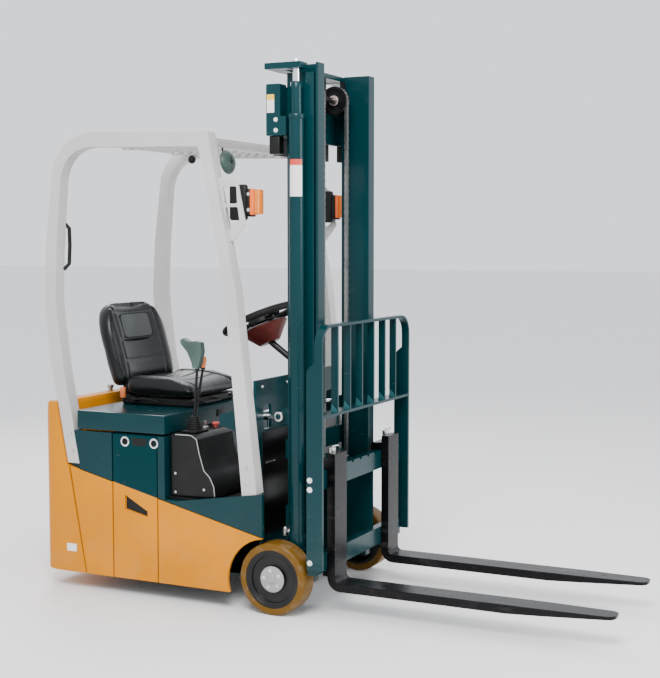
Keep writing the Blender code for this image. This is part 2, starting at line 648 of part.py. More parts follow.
# ------------------------------------------------------------------ wheels and axles
def front_axle():
    """Axle carriers beside the mast foot, joined behind it, with stub axles and mast pins."""
    behind = box((-0.100, -0.337, 0.118), (-0.060, 0.337, 0.198))
    adds = []
    for side, _ in SIDES:
        cheek = rounded([(-0.104, 0.104), (0.030, 0.104), (0.046, AXLE_Z), (0.030, 0.205),
                         (-0.104, 0.235)], 0.010, 3)
        adds.append(slab([cheek], "xz", *span(side, 0.296, 0.342)))
        adds.append(rod((0, side * 0.330, AXLE_Z), (0, side * (TRACK_OUTER - 0.035), AXLE_Z), STUB_R, 20))
        adds.append(rod((0, side * 0.263, AXLE_Z), (0, side * 0.310, AXLE_Z), PIVOT_PIN_R, 16))
        adds.append(rod((0, side * 0.340, AXLE_Z), (0, side * 0.352, AXLE_Z), 0.045, 18))
    piece("front_axle", behind, BLACK, add=adds)


def wheel(prefix, centre, side, radius, width, band, hub_r, shaft_r, shaft_end, hand=""):
    """Tyre band and dished rim; side is the direction in which the closed hub face looks."""
    axis = (0, side, 0)
    half = width / 2
    soft = 0.012
    outer = [(radius - 0.007, half), (radius - 0.002, half - soft / 2), (radius, half - soft),
             (radius, soft - half), (radius - 0.002, soft / 2 - half), (radius - 0.007, -half),
             (radius - band, -half), (radius - band, half)]
    piece(prefix + "_tyre" + hand, turned(outer, axis, centre, WHEEL_STEPS), AMBER, origin=centre)
    rim_r = radius - band - GAP
    disc = half - 0.030
    profile = [(0, half - 0.004), (hub_r - 0.004, half - 0.004), (hub_r, half - 0.008), (hub_r, disc + 0.012),
               (rim_r - 0.024, disc + 0.012), (rim_r - 0.010, half - 0.002), (rim_r, half - 0.002),
               (rim_r, 0.002 - half), (rim_r - 0.012, 0.002 - half), (rim_r - 0.020, disc),
               (hub_r, disc), (hub_r - 0.006, 0.012 - half), (shaft_r, 0.012 - half), (shaft_r, shaft_end),
               (0, shaft_end)]
    piece(prefix + "_rim" + hand, turned(profile, axis, centre, WHEEL_STEPS), BLACK, origin=centre)


def wheels():
    centre_y = TRACK_OUTER - WHEEL_W / 2
    for side, hand in SIDES:
        wheel("front", (0, side * centre_y, AXLE_Z), side, WHEEL_R, WHEEL_W, TYRE_BAND, HUB_R,
              STUB_R + 0.001, WHEEL_W / 2 - 0.030, "_" + hand)
    wheel("drive", (DRIVE_X, 0, DRIVE_R), 1, DRIVE_R, DRIVE_W, TYRE_BAND, HUB_R, STUB_R + 0.001,
          DRIVE_W / 2 - 0.030)


def drive_unit():
    """Steered carrier of the rear wheel: turntable, arm beside the wheel and stub axle."""
    top = rod((DRIVE_X, 0, 0.400), (DRIVE_X, 0, DECK_Z - 0.001), 0.120, 32)
    arm = box((DRIVE_X - 0.060, -0.118, 0.110), (DRIVE_X + 0.060, -0.062, 0.410), 0.010)
    stub = rod((DRIVE_X, -0.080, DRIVE_R), (DRIVE_X, 0.005, DRIVE_R), STUB_R, 20)
    motor = rod((DRIVE_X, 0, 0.330), (DRIVE_X, 0, 0.405), 0.080, 22)
    piece("drive_unit", top, BLACK, origin=(DRIVE_X, 0, DRIVE_R), add=[arm, stub, motor])


# ------------------------------------------------------------------ mast
OUTER_FRONT = MAST_FRONT - FLANGE - 0.007
OUTER_REAR = -0.017
INNER_REAR = OUTER_REAR + FLANGE + 0.008
INNER_WEB = 0.222           # inner face of the inner rail's web
RAIL_LIP = 0.241            # how far in the outer rail's flanges reach
PIVOT = (0, 0, AXLE_Z)


def outer_mast():
    """Fixed stage: two channel rails, ties behind them and clamp brackets for the lift cylinders."""
    adds = []
    for side, _ in SIDES:
        channel = [(OUTER_REAR, MAST_HALF), (OUTER_FRONT, MAST_HALF), (OUTER_FRONT, RAIL_LIP),
                   (OUTER_FRONT - FLANGE, RAIL_LIP), (OUTER_FRONT - FLANGE, MAST_HALF - FLANGE),
                   (OUTER_REAR + FLANGE, MAST_HALF - FLANGE), (OUTER_REAR + FLANGE, RAIL_LIP),
                   (OUTER_REAR, RAIL_LIP)]
        channel = [(x, side * y) for x, y in channel]
        adds.append(slab([channel], "xy", MAST_FOOT, OUTER_TOP))
        clamp = rounded([(-0.081, 1.958), (0.010, 1.958), (0.010, 2.035), (-0.016, 2.035), (-0.016, 2.167),
                         (-0.081, 2.167)], 0.004, 2)
        adds.append(slab([clamp], "xz", *span(side, 0.290, 0.345)))
        foot = rounded([(-0.030, 0.245), (0.085, 0.245), (0.085, 0.262), (-0.030, 0.262)], 0.004, 2)
        adds.append(slab([foot], "xz", *span(side, MAST_HALF - 0.006, 0.3545)))
        ear = rounded([(TILT_PIN_X - 0.020, TILT_PIN_Z - 0.022), (OUTER_REAR + 0.020, TILT_PIN_Z - 0.040),
                       (OUTER_REAR + 0.020, TILT_PIN_Z + 0.040), (TILT_PIN_X - 0.020, TILT_PIN_Z + 0.022)],
                      0.004, 2)
        adds.append(slab([ear], "xz", *span(side, MAST_HALF - 0.009, MAST_HALF + 0.001)))
        adds.append(rod((TILT_PIN_X, side * (MAST_HALF - 0.004), TILT_PIN_Z),
                        (TILT_PIN_X, side * (TILT_Y + 0.019), TILT_PIN_Z), TILT_PIN_R, 16))
    ties = [box((-0.083, -0.300, 1.956), (TIE_FRONT, 0.300, 2.169), 0.004, 1),
            box((-0.034, -0.270, 0.620), (OUTER_REAR + 0.002, 0.270, 0.700)),
            box((-0.034, -0.270, 0.300), (OUTER_REAR + 0.002, 0.270, 0.420)),
            *both((TIE_FRONT - 0.010, MAST_HALF - FLANGE + 0.001, 1.975),
                  (OUTER_REAR + 0.006, MAST_HALF - 0.001, 2.150)),
            *both((TIE_FRONT - 0.008, SHEAVE_Y - 0.018, 1.962),
                  (CHAIN_REAR + 0.012, SHEAVE_Y + 0.018, CHAIN_END - GAP))]
    pins = [rod((0, side * 0.262, AXLE_Z), (0, side * 0.290, AXLE_Z), PIVOT_PIN_R + 0.001, 16)
            for side, _ in SIDES]
    piece("outer_mast", ties[0], TEAL, origin=PIVOT, add=ties[1:] + adds, cut=pins)


def inner_mast():
    """Lifting stage: two rails whose front flanges cover the outer ones, and ties at top and foot."""
    adds = []
    web = INNER_WEB + FLANGE
    for side, _ in SIDES:
        rail = [(MAST_FRONT, INNER_WEB), (MAST_FRONT, MAST_HALF), (MAST_FRONT - FLANGE, MAST_HALF),
                (MAST_FRONT - FLANGE, web), (INNER_REAR + FLANGE, web), (INNER_REAR + FLANGE, 0.256),
                (INNER_REAR, 0.256), (INNER_REAR, INNER_WEB)]
        rail = [(x, side * y) for x, y in rail]
        adds.append(slab([rail], "xy", 0.160, MAST_TOP))
        outside, edge = MAST_HALF + RUNNING, CYLINDER_Y + 0.030
        behind = OUTER_REAR - RUNNING
        plate = [(-0.086, 0.200), (behind, 0.200), (behind, outside), (0.080, outside),
                 (0.080, edge), (-0.086, edge)]
        plate = [(x, side * y) for x, y in plate]
        adds.append(slab([plate], "xy", CROWN_Z, MAST_TOP - 0.002))
    beam = box((-0.088, -web + 0.001, CROWN_Z + 0.002), (0.012, web - 0.001, MAST_TOP - 0.004))
    for low, high in ((0.170, 0.290), (0.500, 0.600)):
        adds.append(box((INNER_REAR + 0.002, -0.230, low), (INNER_REAR + FLANGE + 0.002, 0.230, high)))
    piece("inner_mast", beam, TEAL, add=adds)


def lift_cylinders():
    top = 2.165
    for side, hand in SIDES:
        y = side * CYLINDER_Y
        bore = ROD_R + 0.002
        barrel = [(bore, top), (0.023, top), (0.023, 2.036), (CYLINDER_R - 0.002, 2.036),
                  (CYLINDER_R - 0.002, 0.330), (CYLINDER_R, 0.326), (CYLINDER_R, 0.2625), (bore, 0.2625)]
        piece("lift_cylinder_" + hand, turned(barrel, (0, 0, 1), (CYLINDER_X, y, 0), 22), TEAL)
        shaft = rod((CYLINDER_X, y, 0.320), (CYLINDER_X, y, CROWN_Z - GAP), ROD_R, 20)
        piece("lift_rod_" + hand, shaft, CHROME)


def chain_run():
    """Sheaves on a shaft between the inner rails, and the two chains over them."""
    shaft = rod((SHEAVE_X, -0.200, SHEAVE_Z), (SHEAVE_X, 0.200, SHEAVE_Z), 0.012, 14)
    rims = []
    for side, _ in SIDES:
        half = CHAIN_W / 2 + 0.005
        wall = SHEAVE_R + CHAIN_T / 2
        root = SHEAVE_R - CHAIN_T / 2 - 0.001
        lip = half - 0.0035
        profile = [(0, half), (wall, half), (wall, lip), (root, lip), (root, -lip), (wall, -lip),
                   (wall, -half), (0, -half)]
        rims.append(turned(profile, (0, 1, 0), (SHEAVE_X, side * SHEAVE_Y, SHEAVE_Z), 18))
    hangers = [box((SHEAVE_X - 0.010, y - 0.006, SHEAVE_Z - 0.02),
                   (SHEAVE_X + 0.010, y + 0.006, CROWN_Z + 0.002 - GAP)) for y in (-0.190, 0.190, 0)]
    piece("chain_sheaves", shaft, STEEL, add=rims + hangers)
    for side, hand in SIDES:
        t = CHAIN_T / 2
        outer = [(CHAIN_X + t, ARM_TOP + 0.001)] + arc((SHEAVE_X, SHEAVE_Z), SHEAVE_R + t, 0, 180, 12)
        outer += [(CHAIN_REAR - t, CHAIN_END), (CHAIN_REAR + t, CHAIN_END)]
        inner = arc((SHEAVE_X, SHEAVE_Z), SHEAVE_R - t, 180, 0, 12) + [(CHAIN_X - t, ARM_TOP + 0.001)]
        y = side * SHEAVE_Y
        run = slab([outer + inner], "xz", y - CHAIN_W / 2, y + CHAIN_W / 2)
        piece("chain_" + hand, run, BLACK)


def tilt_cylinders():
    """Barrel hinged on the chassis, rod held by the mast: drawn at the parked angle."""
    start = Vector((TILT_ANCHOR_X, 0, TILT_ANCHOR_Z))
    end = Vector((TILT_PIN_X, 0, TILT_PIN_Z))
    along = (end - start).normalized()
    for side, hand in SIDES:
        y = Vector((0, side * TILT_Y, 0))
        origin = start + y
        eye = rod(origin + Vector((0, -0.014, 0)), origin + Vector((0, 0.014, 0)), 0.020, 20)
        barrel = rod(origin + along * 0.016, origin + along * 0.150, TILT_R, 24)
        hole = rod(origin + Vector((0, -0.03, 0)), origin + Vector((0, 0.03, 0)), TILT_PIN_R + 0.001, 16)
        bore = rod(origin + along * 0.030, origin + along * 0.160, TILT_ROD_R + 0.001, 16)
        piece("tilt_cylinder_" + hand, barrel, BLACK, origin=origin, add=[eye], cut=[hole, bore])
        far = end + y
        shaft = rod(origin + along * 0.095, far - along * 0.014, TILT_ROD_R, 16)
        head = rod(far + Vector((0, -0.014, 0)), far + Vector((0, 0.014, 0)), 0.021, 20)
        slack = rod(far + Vector((0, -0.03, 0)), far + Vector((0, 0.03, 0)), TILT_PIN_R + 0.002, 16)
        piece("tilt_rod_" + hand, shaft, CHROME, origin=far, add=[head], cut=[slack])


# ------------------------------------------------------------------ carriage and forks
def carriage():
    """Two cross bars for the forks, with roller plates that run inside the inner rails."""
    back = BAR_FRONT - BAR_T
    notch, pitch = 0.010, 0.080
    top = []
    for i in range(-5, 6):
        y = i * pitch
        top += [(y - notch, UPPER_BAR[1]), (y - notch, UPPER_BAR[1] - 0.008),
                (y + notch, UPPER_BAR[1] - 0.008), (y + notch, UPPER_BAR[1])]
    upper = [(-BAR_HALF, UPPER_BAR[0]), (-BAR_HALF, UPPER_BAR[1])] + top
    upper += [(BAR_HALF, UPPER_BAR[1]), (BAR_HALF, UPPER_BAR[0])]
    adds = [box((back, -BAR_HALF, LOWER_BAR[0]), (BAR_FRONT, BAR_HALF, LOWER_BAR[1]))]
    inner = INNER_WEB - 0.007
    for side, _ in SIDES:
        arm = rounded([(0.030, 0.190), (back + 0.004, 0.190), (back + 0.004, ARM_TOP), (0.085, ARM_TOP),
                       (0.030, ARM_TOP - 0.025)], 0.010, 3)
        adds.append(slab([arm], "xz", *span(side, inner - 0.026, inner - 0.010)))
        for z in (0.240, 0.530):
            adds.append(rod((0.066, side * (inner - 0.014), z), (0.066, side * inner, z), 0.034, 16))
    for side, _ in SIDES:
        y = side * SHEAVE_Y
        adds.append(box((CHAIN_X - 0.012, y - 0.018, ARM_TOP - 0.030), (back + 0.004, y + 0.018, ARM_TOP)))
    adds.append(box((0.085, -(inner - 0.012), ARM_TOP - 0.035), (0.100, inner - 0.012, ARM_TOP - 0.005)))
    piece("carriage", slab([upper], "yz", back, BAR_FRONT), TEAL, add=adds)


def load_backrest():
    """Flat-bar hoop and uprights over a shelf, bolted to the ends of the carriage bars."""
    front, back = BACKREST_FRONT, BACKREST_FRONT - BACKREST_DEPTH
    half, bar = BACKREST_HALF, BACKREST_BAR
    low = 1.000
    left = (half - BACKREST_ROUND, BACKREST_TOP - BACKREST_ROUND)
    right = (-left[0], left[1])
    outer = [(half, low)] + arc(left, BACKREST_ROUND, 0, 90, 6)
    outer += arc(right, BACKREST_ROUND, 90, 180, 6) + [(-half, low)]
    small = BACKREST_ROUND - bar
    inner = [(bar - half, low)] + arc(right, small, 180, 90, 6)
    inner += arc(left, small, 90, 0, 6) + [(half - bar, low)]
    hoop = slab([outer + inner], "yz", back, front)
    adds = [box((0.165, 0.002 - half, SHELF_Z - 0.006), (front - 0.001, half - 0.002, SHELF_Z + 0.006))]
    for side, _ in SIDES:
        plate = [(0.157, 0.207), (front, 0.207), (front, 1.045), (back, 1.045), (0.175, 1.030),
                 (0.157, 1.010)]
        adds.append(slab([plate], "xz", *span(side, half - bar - 0.003, half)))
    for i in (-5, -3, -1, 1, 3, 5):
        y = i * 0.060
        adds.append(box((back + 0.002, y - 0.006, SHELF_Z), (front - 0.002, y + 0.006, BACKREST_TOP - 0.004)))
    piece("load_backrest", hoop, TEAL, add=adds)


def forks():
    """L-shaped forks, tapered towards the tip, hooked over the upper bar and under the lower one."""
    bottom = FORK_TOP - FORK_T
    heel = 0.055
    tip_t = 0.012
    side_view = [(SHANK_FRONT, SHANK_TOP), (SHANK_FRONT, FORK_TOP + 0.020)]
    side_view += arc((SHANK_FRONT + 0.020, FORK_TOP + 0.020), 0.020, 180, 270, 4)[1:]
    side_view += [(FORK_TIP + 0.005, FORK_TOP), (FORK_TIP + 0.005, FORK_TOP - tip_t),
                  (FORK_TIP - 0.42, bottom)]
    side_view += arc((SHANK_BACK + heel, bottom + heel), heel, 270, 180, 6)
    gap = 0.001
    side_view += [(SHANK_BACK, LOWER_BAR[0] - 0.025), (BAR_FRONT - BAR_T * 0.55, LOWER_BAR[0] - 0.025),
                  (BAR_FRONT - BAR_T * 0.55, LOWER_BAR[0] - gap), (SHANK_BACK, LOWER_BAR[0] - gap),
                  (SHANK_BACK, UPPER_BAR[1] + gap), (BAR_FRONT - BAR_T - 0.003, UPPER_BAR[1] + gap),
                  (BAR_FRONT - BAR_T - 0.003, UPPER_BAR[1] - 0.012),
                  (BAR_FRONT - BAR_T - 0.014, UPPER_BAR[1] - 0.012),
                  (BAR_FRONT - BAR_T - 0.014, UPPER_BAR[1] + 0.030), (SHANK_BACK, UPPER_BAR[1] + 0.034),
                  (SHANK_BACK, SHANK_TOP)]
    for side, hand in SIDES:
        y = side * FORK_Y
        blade = slab([side_view], "xz", y - FORK_W / 2, y + FORK_W / 2)
        half = FORK_W / 2 + 0.001
        plan = [(0.10, -half), (FORK_TIP - 0.30, -half)]
        plan += arc((FORK_TIP - 0.030, -half + 0.042), 0.030, 270, 360, 4)
        plan += arc((FORK_TIP - 0.030, half - 0.042), 0.030, 0, 90, 4)
        plan += [(FORK_TIP - 0.30, half), (0.10, half)]
        shape = slab([[(px, y + py) for px, py in plan]], "xy", 0, 1)
        piece("fork_" + hand, blade, BLACK, origin=(SHANK_BACK, y, UPPER_BAR[1]), keep=[shape])


# ------------------------------------------------------------------ the truck
chassis()
battery()
counterweight()
skirts()
battery_doors()
hood()
seat()
console()
floor_and_pedals()
steering()
overhead_guard()
headlamps()
front_axle()
wheels()
drive_unit()
outer_mast()
inner_mast()
lift_cylinders()
chain_run()
tilt_cylinders()
carriage()
load_backrest()
forks()
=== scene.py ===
"""Looks of the small three-wheel electric forklift: paint, seat, chains, lamps and fittings."""

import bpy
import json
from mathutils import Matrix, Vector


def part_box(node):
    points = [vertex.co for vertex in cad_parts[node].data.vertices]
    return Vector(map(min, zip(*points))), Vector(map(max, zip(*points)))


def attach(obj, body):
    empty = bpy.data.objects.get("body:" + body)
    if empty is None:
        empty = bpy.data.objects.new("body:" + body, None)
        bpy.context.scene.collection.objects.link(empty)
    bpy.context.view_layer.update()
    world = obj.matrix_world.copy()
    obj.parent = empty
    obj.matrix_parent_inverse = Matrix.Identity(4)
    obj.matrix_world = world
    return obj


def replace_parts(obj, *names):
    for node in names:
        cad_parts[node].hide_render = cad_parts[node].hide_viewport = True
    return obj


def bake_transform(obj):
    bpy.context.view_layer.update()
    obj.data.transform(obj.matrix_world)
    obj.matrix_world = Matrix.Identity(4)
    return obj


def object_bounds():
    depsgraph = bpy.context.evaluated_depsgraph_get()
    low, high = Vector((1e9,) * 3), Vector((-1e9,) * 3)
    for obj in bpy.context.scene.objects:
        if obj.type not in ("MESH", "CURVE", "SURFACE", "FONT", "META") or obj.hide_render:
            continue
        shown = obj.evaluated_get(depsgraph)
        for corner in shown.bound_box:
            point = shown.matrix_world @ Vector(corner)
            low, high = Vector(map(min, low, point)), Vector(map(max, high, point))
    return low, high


bl_info = {
    "name": "Forklift Looks",
    "version": (1, 0, 0),
    "blender": (4, 5, 0),
    "location": "3D View > Sidebar > Forklift",
    "description": "Dresses the packed forklift frame with finished surfaces, seat, chains and fittings",
    "category": "Object",
}

import json
from math import cos, exp, pi, radians, sin, tau

import bmesh
import bpy
from mathutils import Matrix, Vector

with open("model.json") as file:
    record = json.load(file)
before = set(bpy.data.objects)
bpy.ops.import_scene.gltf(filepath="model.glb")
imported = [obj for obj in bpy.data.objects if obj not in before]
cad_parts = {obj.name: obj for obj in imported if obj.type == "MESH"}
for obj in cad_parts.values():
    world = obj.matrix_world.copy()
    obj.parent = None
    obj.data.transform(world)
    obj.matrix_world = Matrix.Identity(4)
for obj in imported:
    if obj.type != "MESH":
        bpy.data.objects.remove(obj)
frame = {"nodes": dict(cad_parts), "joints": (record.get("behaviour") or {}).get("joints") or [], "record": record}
CAD_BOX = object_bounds()

# ---------------------------------------------------------------- places read from the frame
X, Y, Z = Vector((1, 0, 0)), Vector((0, 1, 0)), Vector((0, 0, 1))
SIDES = ((-1, "right"), (1, "left"))


def middle(node):
    low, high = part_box(node)
    return (low + high) / 2


AXLE = middle("front_tyre_left").x      # every place below counts X from the front axle
CHAIN_Y = middle("chain_left").y        # each lift chain runs this far to one side


def at(x, y, z):
    return Vector((AXLE + x, y, z))


def side_face(node, side):
    """How far a node reaches to one side, as a Y."""
    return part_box(node)[1 if side > 0 else 0].y


def joint(name):
    return next(row for row in frame["joints"] if row["name"] == name)


def direction(name):
    """The way that a joint's axis points."""
    return Vector(joint(name)["axis"]).normalized()


# ---------------------------------------------------------------- sizes and colours to change
class ForkliftColours(bpy.types.PropertyGroup):
    """Colours of the finishes, in linear light."""

    def colour(name, description, default):
        return bpy.props.FloatVectorProperty(name=name, description=description, default=default,
                                             subtype="COLOR", size=3, min=0, max=1)

    yellow: colour("Yellow", "Paint of the skirts, doors and counterweight", (0.60, 0.21, 0.0))
    teal: colour("Teal", "Paint of the mast, hood and chassis", (0.0004, 0.026, 0.031))
    guard: colour("Guard grey", "Paint of the overhead guard", (0.50, 0.49, 0.475))
    vinyl: colour("Seat vinyl", "Cover of the seat", (0.0015, 0.0025, 0.0025))
    tyre: colour("Tyre", "Polyurethane of the wheels", (0.12, 0.056, 0.003))
    floor: colour("Floor", "Studio floor", (0.86, 0.86, 0.85))


class ForkliftSizes(bpy.types.PropertyGroup):
    """Sizes of what is added round the frame."""

    def length(name, description, default):
        return bpy.props.FloatProperty(name=name, description=description, default=default,
                                       min=0, subtype="DISTANCE", unit="LENGTH")

    edge: length("Edge", "Rounding of sheet and plate edges", 0.0018)
    soft_edge: length("Moulded edge", "Rounding of castings and mouldings", 0.009)
    bolt: length("Bolt", "Radius of a hexagon head", 0.0085)
    link: length("Chain pitch", "Distance between chain pins", 0.0159)
    voxel: length("Seat voxel", "Grid that the seat cushions are rebuilt on", 0.006)
    seat_swell: length("Seat swell", "How far the seat cover may puff out", 0.012)
    groove: length("Seam depth", "Depth of the sewn channels", 0.007)


class ForkliftStage(bpy.types.PropertyGroup):
    """Light and camera."""

    key: bpy.props.FloatProperty(name="Key light", description="Power of the large light", default=330,
                                 min=0, unit="POWER")
    fill: bpy.props.FloatProperty(name="Fill light", description="Power of the light ahead of the truck",
                                  default=120, min=0, unit="POWER")
    sky: bpy.props.FloatProperty(name="Sky", description="Brightness all round", default=1.45, min=0)
    lens: bpy.props.FloatProperty(name="Lens", description="Focal length", default=69.41, unit="CAMERA")


# ---------------------------------------------------------------- shader arithmetic
class Wire:
    """A shader socket that takes part in Python arithmetic."""

    def __init__(self, paint, socket):
        self.paint = paint
        self.socket = socket

    def maths(self, operation, first, second):
        return self.paint.node("ShaderNodeMath", {"operation": operation}, {0: first, 1: second})

    def __add__(self, other):
        return self.maths("ADD", self, other)

    def __sub__(self, other):
        return self.maths("SUBTRACT", self, other)

    def __rsub__(self, other):
        return self.maths("SUBTRACT", other, self)

    def __mul__(self, other):
        return self.maths("MULTIPLY", self, other)

    __radd__ = __add__
    __rmul__ = __mul__


class Paint:
    """One material under construction."""

    def __init__(self, name, roughness=0.5, metallic=0.0, **constants):
        self.material = bpy.data.materials.new(name)
        self.material.use_nodes = True
        self.tree = self.material.node_tree
        self.shader = self.tree.nodes["Principled BSDF"]
        self.place = self.node("ShaderNodeTexCoord", output="Object")
        self.set("Roughness", roughness)
        self.set("Metallic", metallic)
        for socket, value in constants.items():
            self.set(socket.replace("_", " "), value)

    def node(self, kind, settings=None, inputs=None, output=0):
        """Add any node, set it up, fill or link its sockets and return one of its outputs."""
        made = self.tree.nodes.new(kind)
        for name, value in (settings or {}).items():
            setattr(made, name, value)
        for name, value in (inputs or {}).items():
            self.fill(made.inputs[name], value)
        return Wire(self, made.outputs[output])

    def fill(self, socket, value):
        if isinstance(value, Wire):
            self.tree.links.new(value.socket, socket)
        elif socket.type == "RGBA":
            socket.default_value = (*value, 1)
        else:
            socket.default_value = value

    def set(self, socket, value):
        self.fill(self.shader.inputs[socket], value)

    def stretched(self, x, y, z):
        """The place vector scaled along the axes, for brushed or streaky texture."""
        return self.node("ShaderNodeVectorMath", {"operation": "MULTIPLY"}, {0: self.place, 1: (x, y, z)})

    def noise(self, scale, detail=2, place=None):
        return self.node("ShaderNodeTexNoise", None, {"Vector": place or self.place, "Scale": scale,
                                                      "Detail": detail})

    def cells(self, scale, feature="F1"):
        return self.node("ShaderNodeTexVoronoi", {"feature": feature}, {"Vector": self.place, "Scale": scale})

    def axis(self, letter):
        return self.node("ShaderNodeSeparateXYZ", None, {0: self.place}, output="XYZ".index(letter))

    def ramp(self, value, low, high, first=0.0, last=1.0):
        """A smooth step from one value to another."""
        return self.node("ShaderNodeMapRange", {"interpolation_type": "SMOOTHSTEP"},
                         {"Value": value, "From Min": low, "From Max": high, "To Min": first,
                          "To Max": last})

    def mix(self, share, first, second):
        return self.node("ShaderNodeMix", {"data_type": "RGBA"}, {0: share, 6: first, 7: second}, output=2)

    def bump(self, height, depth, strength=1.0):
        self.set("Normal", self.node("ShaderNodeBump", None, {"Height": height, "Distance": depth,
                                                              "Strength": strength}))


def shade(colour, factor):
    return tuple(min(1.0, channel * factor) for channel in colour)


DUST = (0.30, 0.26, 0.20)

# the slanted colour line on the doors meets the top edges of the skirts beside them
LINE_SLOPE = -0.2403
LINE_HEIGHT = 0.30815      # where the line would cross the front axle
LINE_BLUR = 0.0007


def above_line(paint):
    """1 above the slanted colour line, 0 below it."""
    line = (paint.axis("X") - AXLE) * LINE_SLOPE + LINE_HEIGHT
    return paint.ramp(paint.axis("Z") - line, -LINE_BLUR, LINE_BLUR)


def painted(name, colour, roughness, dirt=0.10, coat=0.35, upper=None, shine=0.3):
    """Sprayed paint: faint orange peel, cloudy wear, scuffs, and dust that gathers low down.

    An upper colour covers what lies above the slanted line."""
    paint = Paint(name, Coat_Weight=coat, Coat_Roughness=0.12, Specular_IOR_Level=shine)
    clouds = paint.noise(2.3, 4)
    base = paint.mix(paint.ramp(clouds, 0.35, 0.7), shade(colour, 0.90), shade(colour, 1.07))
    if upper:
        base = paint.mix(above_line(paint), base, paint.mix(clouds, shade(upper, 0.9), shade(upper, 1.1)))
    scuffs = paint.ramp(paint.noise(55, 5, paint.stretched(0.35, 0.35, 1.6)), 0.66, 0.74)
    scuffs = scuffs * paint.ramp(paint.noise(5, 2), 0.50, 0.62)
    low = paint.ramp(paint.axis("Z"), 0.55, 0.06) * paint.ramp(paint.noise(14, 5), 0.35, 0.75)
    grime = scuffs * 0.12 + low * dirt
    paint.set("Base Color", paint.mix(grime, base, DUST))
    paint.set("Roughness", clouds * 0.10 + grime * 0.35 + (roughness - 0.05))
    paint.bump(paint.noise(420, 2) + scuffs * -0.5, 0.00012)
    return paint.material


def moulded(name, colour, roughness, grain=900):
    """Grained plastic with faint handling marks."""
    paint = Paint(name, Specular_IOR_Level=0.25)
    rubbed = paint.ramp(paint.noise(9, 4), 0.45, 0.70)
    paint.set("Base Color", paint.mix(rubbed, colour, shade(colour, 1.7)))
    paint.set("Roughness", roughness - rubbed * 0.10)
    paint.bump(paint.cells(grain), 0.00025)
    return paint.material


def vinyl(name, colour, roughness=0.30):
    """Coated seat cloth: fine pebble grain, soft creases and worn, shinier crowns."""
    paint = Paint(name, Sheen_Weight=0.05, Sheen_Roughness=0.4, Specular_IOR_Level=0.30)
    worn = paint.ramp(paint.noise(6, 3), 0.42, 0.68)
    paint.set("Base Color", paint.mix(worn, colour, shade(colour, 1.6)))
    paint.set("Roughness", roughness - worn * 0.08)
    creases = paint.noise(38, 4, paint.stretched(1.0, 0.35, 1.0))
    paint.bump(paint.cells(620) * 0.35 + creases, 0.0007)
    return paint.material


def metal(name, colour, roughness, brushed=(1, 1, 1)):
    paint = Paint(name, metallic=1.0)
    streaks = paint.noise(70, 5, paint.stretched(*brushed))
    stains = paint.ramp(paint.noise(11, 4), 0.48, 0.72)
    paint.set("Base Color", paint.mix(stains, colour, shade(colour, 0.70)))
    paint.set("Roughness", streaks * 0.12 + stains * 0.10 + (roughness - 0.06))
    paint.bump(streaks, 0.00008)
    return paint.material


def worn_steel(name, colour):
    """Black steel that is scraped bright in streaky patches where pallets rub."""
    paint = Paint(name, Specular_IOR_Level=0.15)
    scrape = paint.ramp(paint.noise(24, 6, paint.stretched(0.25, 2.0, 1.0)), 0.54, 0.66)
    scrape = scrape * paint.ramp(paint.noise(3.5, 2), 0.38, 0.62)
    rust = paint.ramp(paint.noise(31, 5), 0.60, 0.72)
    base = paint.mix(scrape * 0.08, colour, (0.16, 0.16, 0.16))
    paint.set("Base Color", paint.mix(rust * 0.08, base, (0.13, 0.065, 0.035)))
    paint.set("Metallic", scrape * 0.1)
    paint.set("Roughness", 0.27 + rust * 0.15 - scrape * 0.04)
    paint.bump(paint.noise(160, 5) - scrape * 0.4, 0.0004)
    return paint.material


def polyurethane(name, colour):
    """Cast tyre band: translucent amber, dusted tread and small cuts."""
    paint = Paint(name, Subsurface_Weight=0.10, Subsurface_Radius=(0.010, 0.005, 0.002),
                  Specular_IOR_Level=0.2)
    marks = paint.ramp(paint.noise(30, 6), 0.48, 0.70)
    cuts = paint.ramp(paint.cells(75, "DISTANCE_TO_EDGE"), 0.0, 0.035, 1.0, 0.0)
    cuts = cuts * paint.ramp(paint.noise(16, 2), 0.55, 0.65)
    base = paint.mix(marks * 0.55, colour, (0.16, 0.11, 0.06))
    paint.set("Base Color", paint.mix(cuts * 0.5, base, (0.06, 0.04, 0.02)))
    paint.set("Roughness", 0.38 + marks * 0.25)
    paint.bump(paint.noise(120, 4) - cuts, 0.0006)
    return paint.material


def lens(name, colour, transmission, ribs):
    """Moulded lamp glass with fine upright ribs."""
    paint = Paint(name, roughness=0.08, Transmission_Weight=transmission, IOR=1.49)
    paint.set("Base Color", paint.mix(paint.noise(20, 2), colour, shade(colour, 0.88)))
    wave = paint.node("ShaderNodeTexWave", {"bands_direction": "Z"}, {"Vector": paint.place, "Scale": ribs},
                      output="Fac")
    paint.bump(wave, 0.0006)
    return paint.material


def sticker(name, ground, band, share, low, high):
    """A blank label: plain ground with one coloured header band."""
    paint = Paint(name, Coat_Weight=0.25)
    border = high - (high - low) * share
    header = paint.ramp(paint.axis("Z"), border - 0.0005, border)
    specks = paint.ramp(paint.noise(90, 5), 0.58, 0.70)
    paint.set("Base Color", paint.mix(specks * 0.25, paint.mix(header, ground, band), DUST))
    paint.set("Roughness", 0.35 + specks * 0.25)
    return paint.material


def concrete(name, colour):
    paint = Paint(name)
    patches = paint.noise(0.6, 5)
    paint.set("Base Color", paint.mix(patches, shade(colour, 0.97), shade(colour, 1.03)))
    paint.set("Roughness", 0.55 + patches * 0.2)
    paint.bump(paint.noise(60, 4), 0.0004)
    return paint.material


FINISH = {}


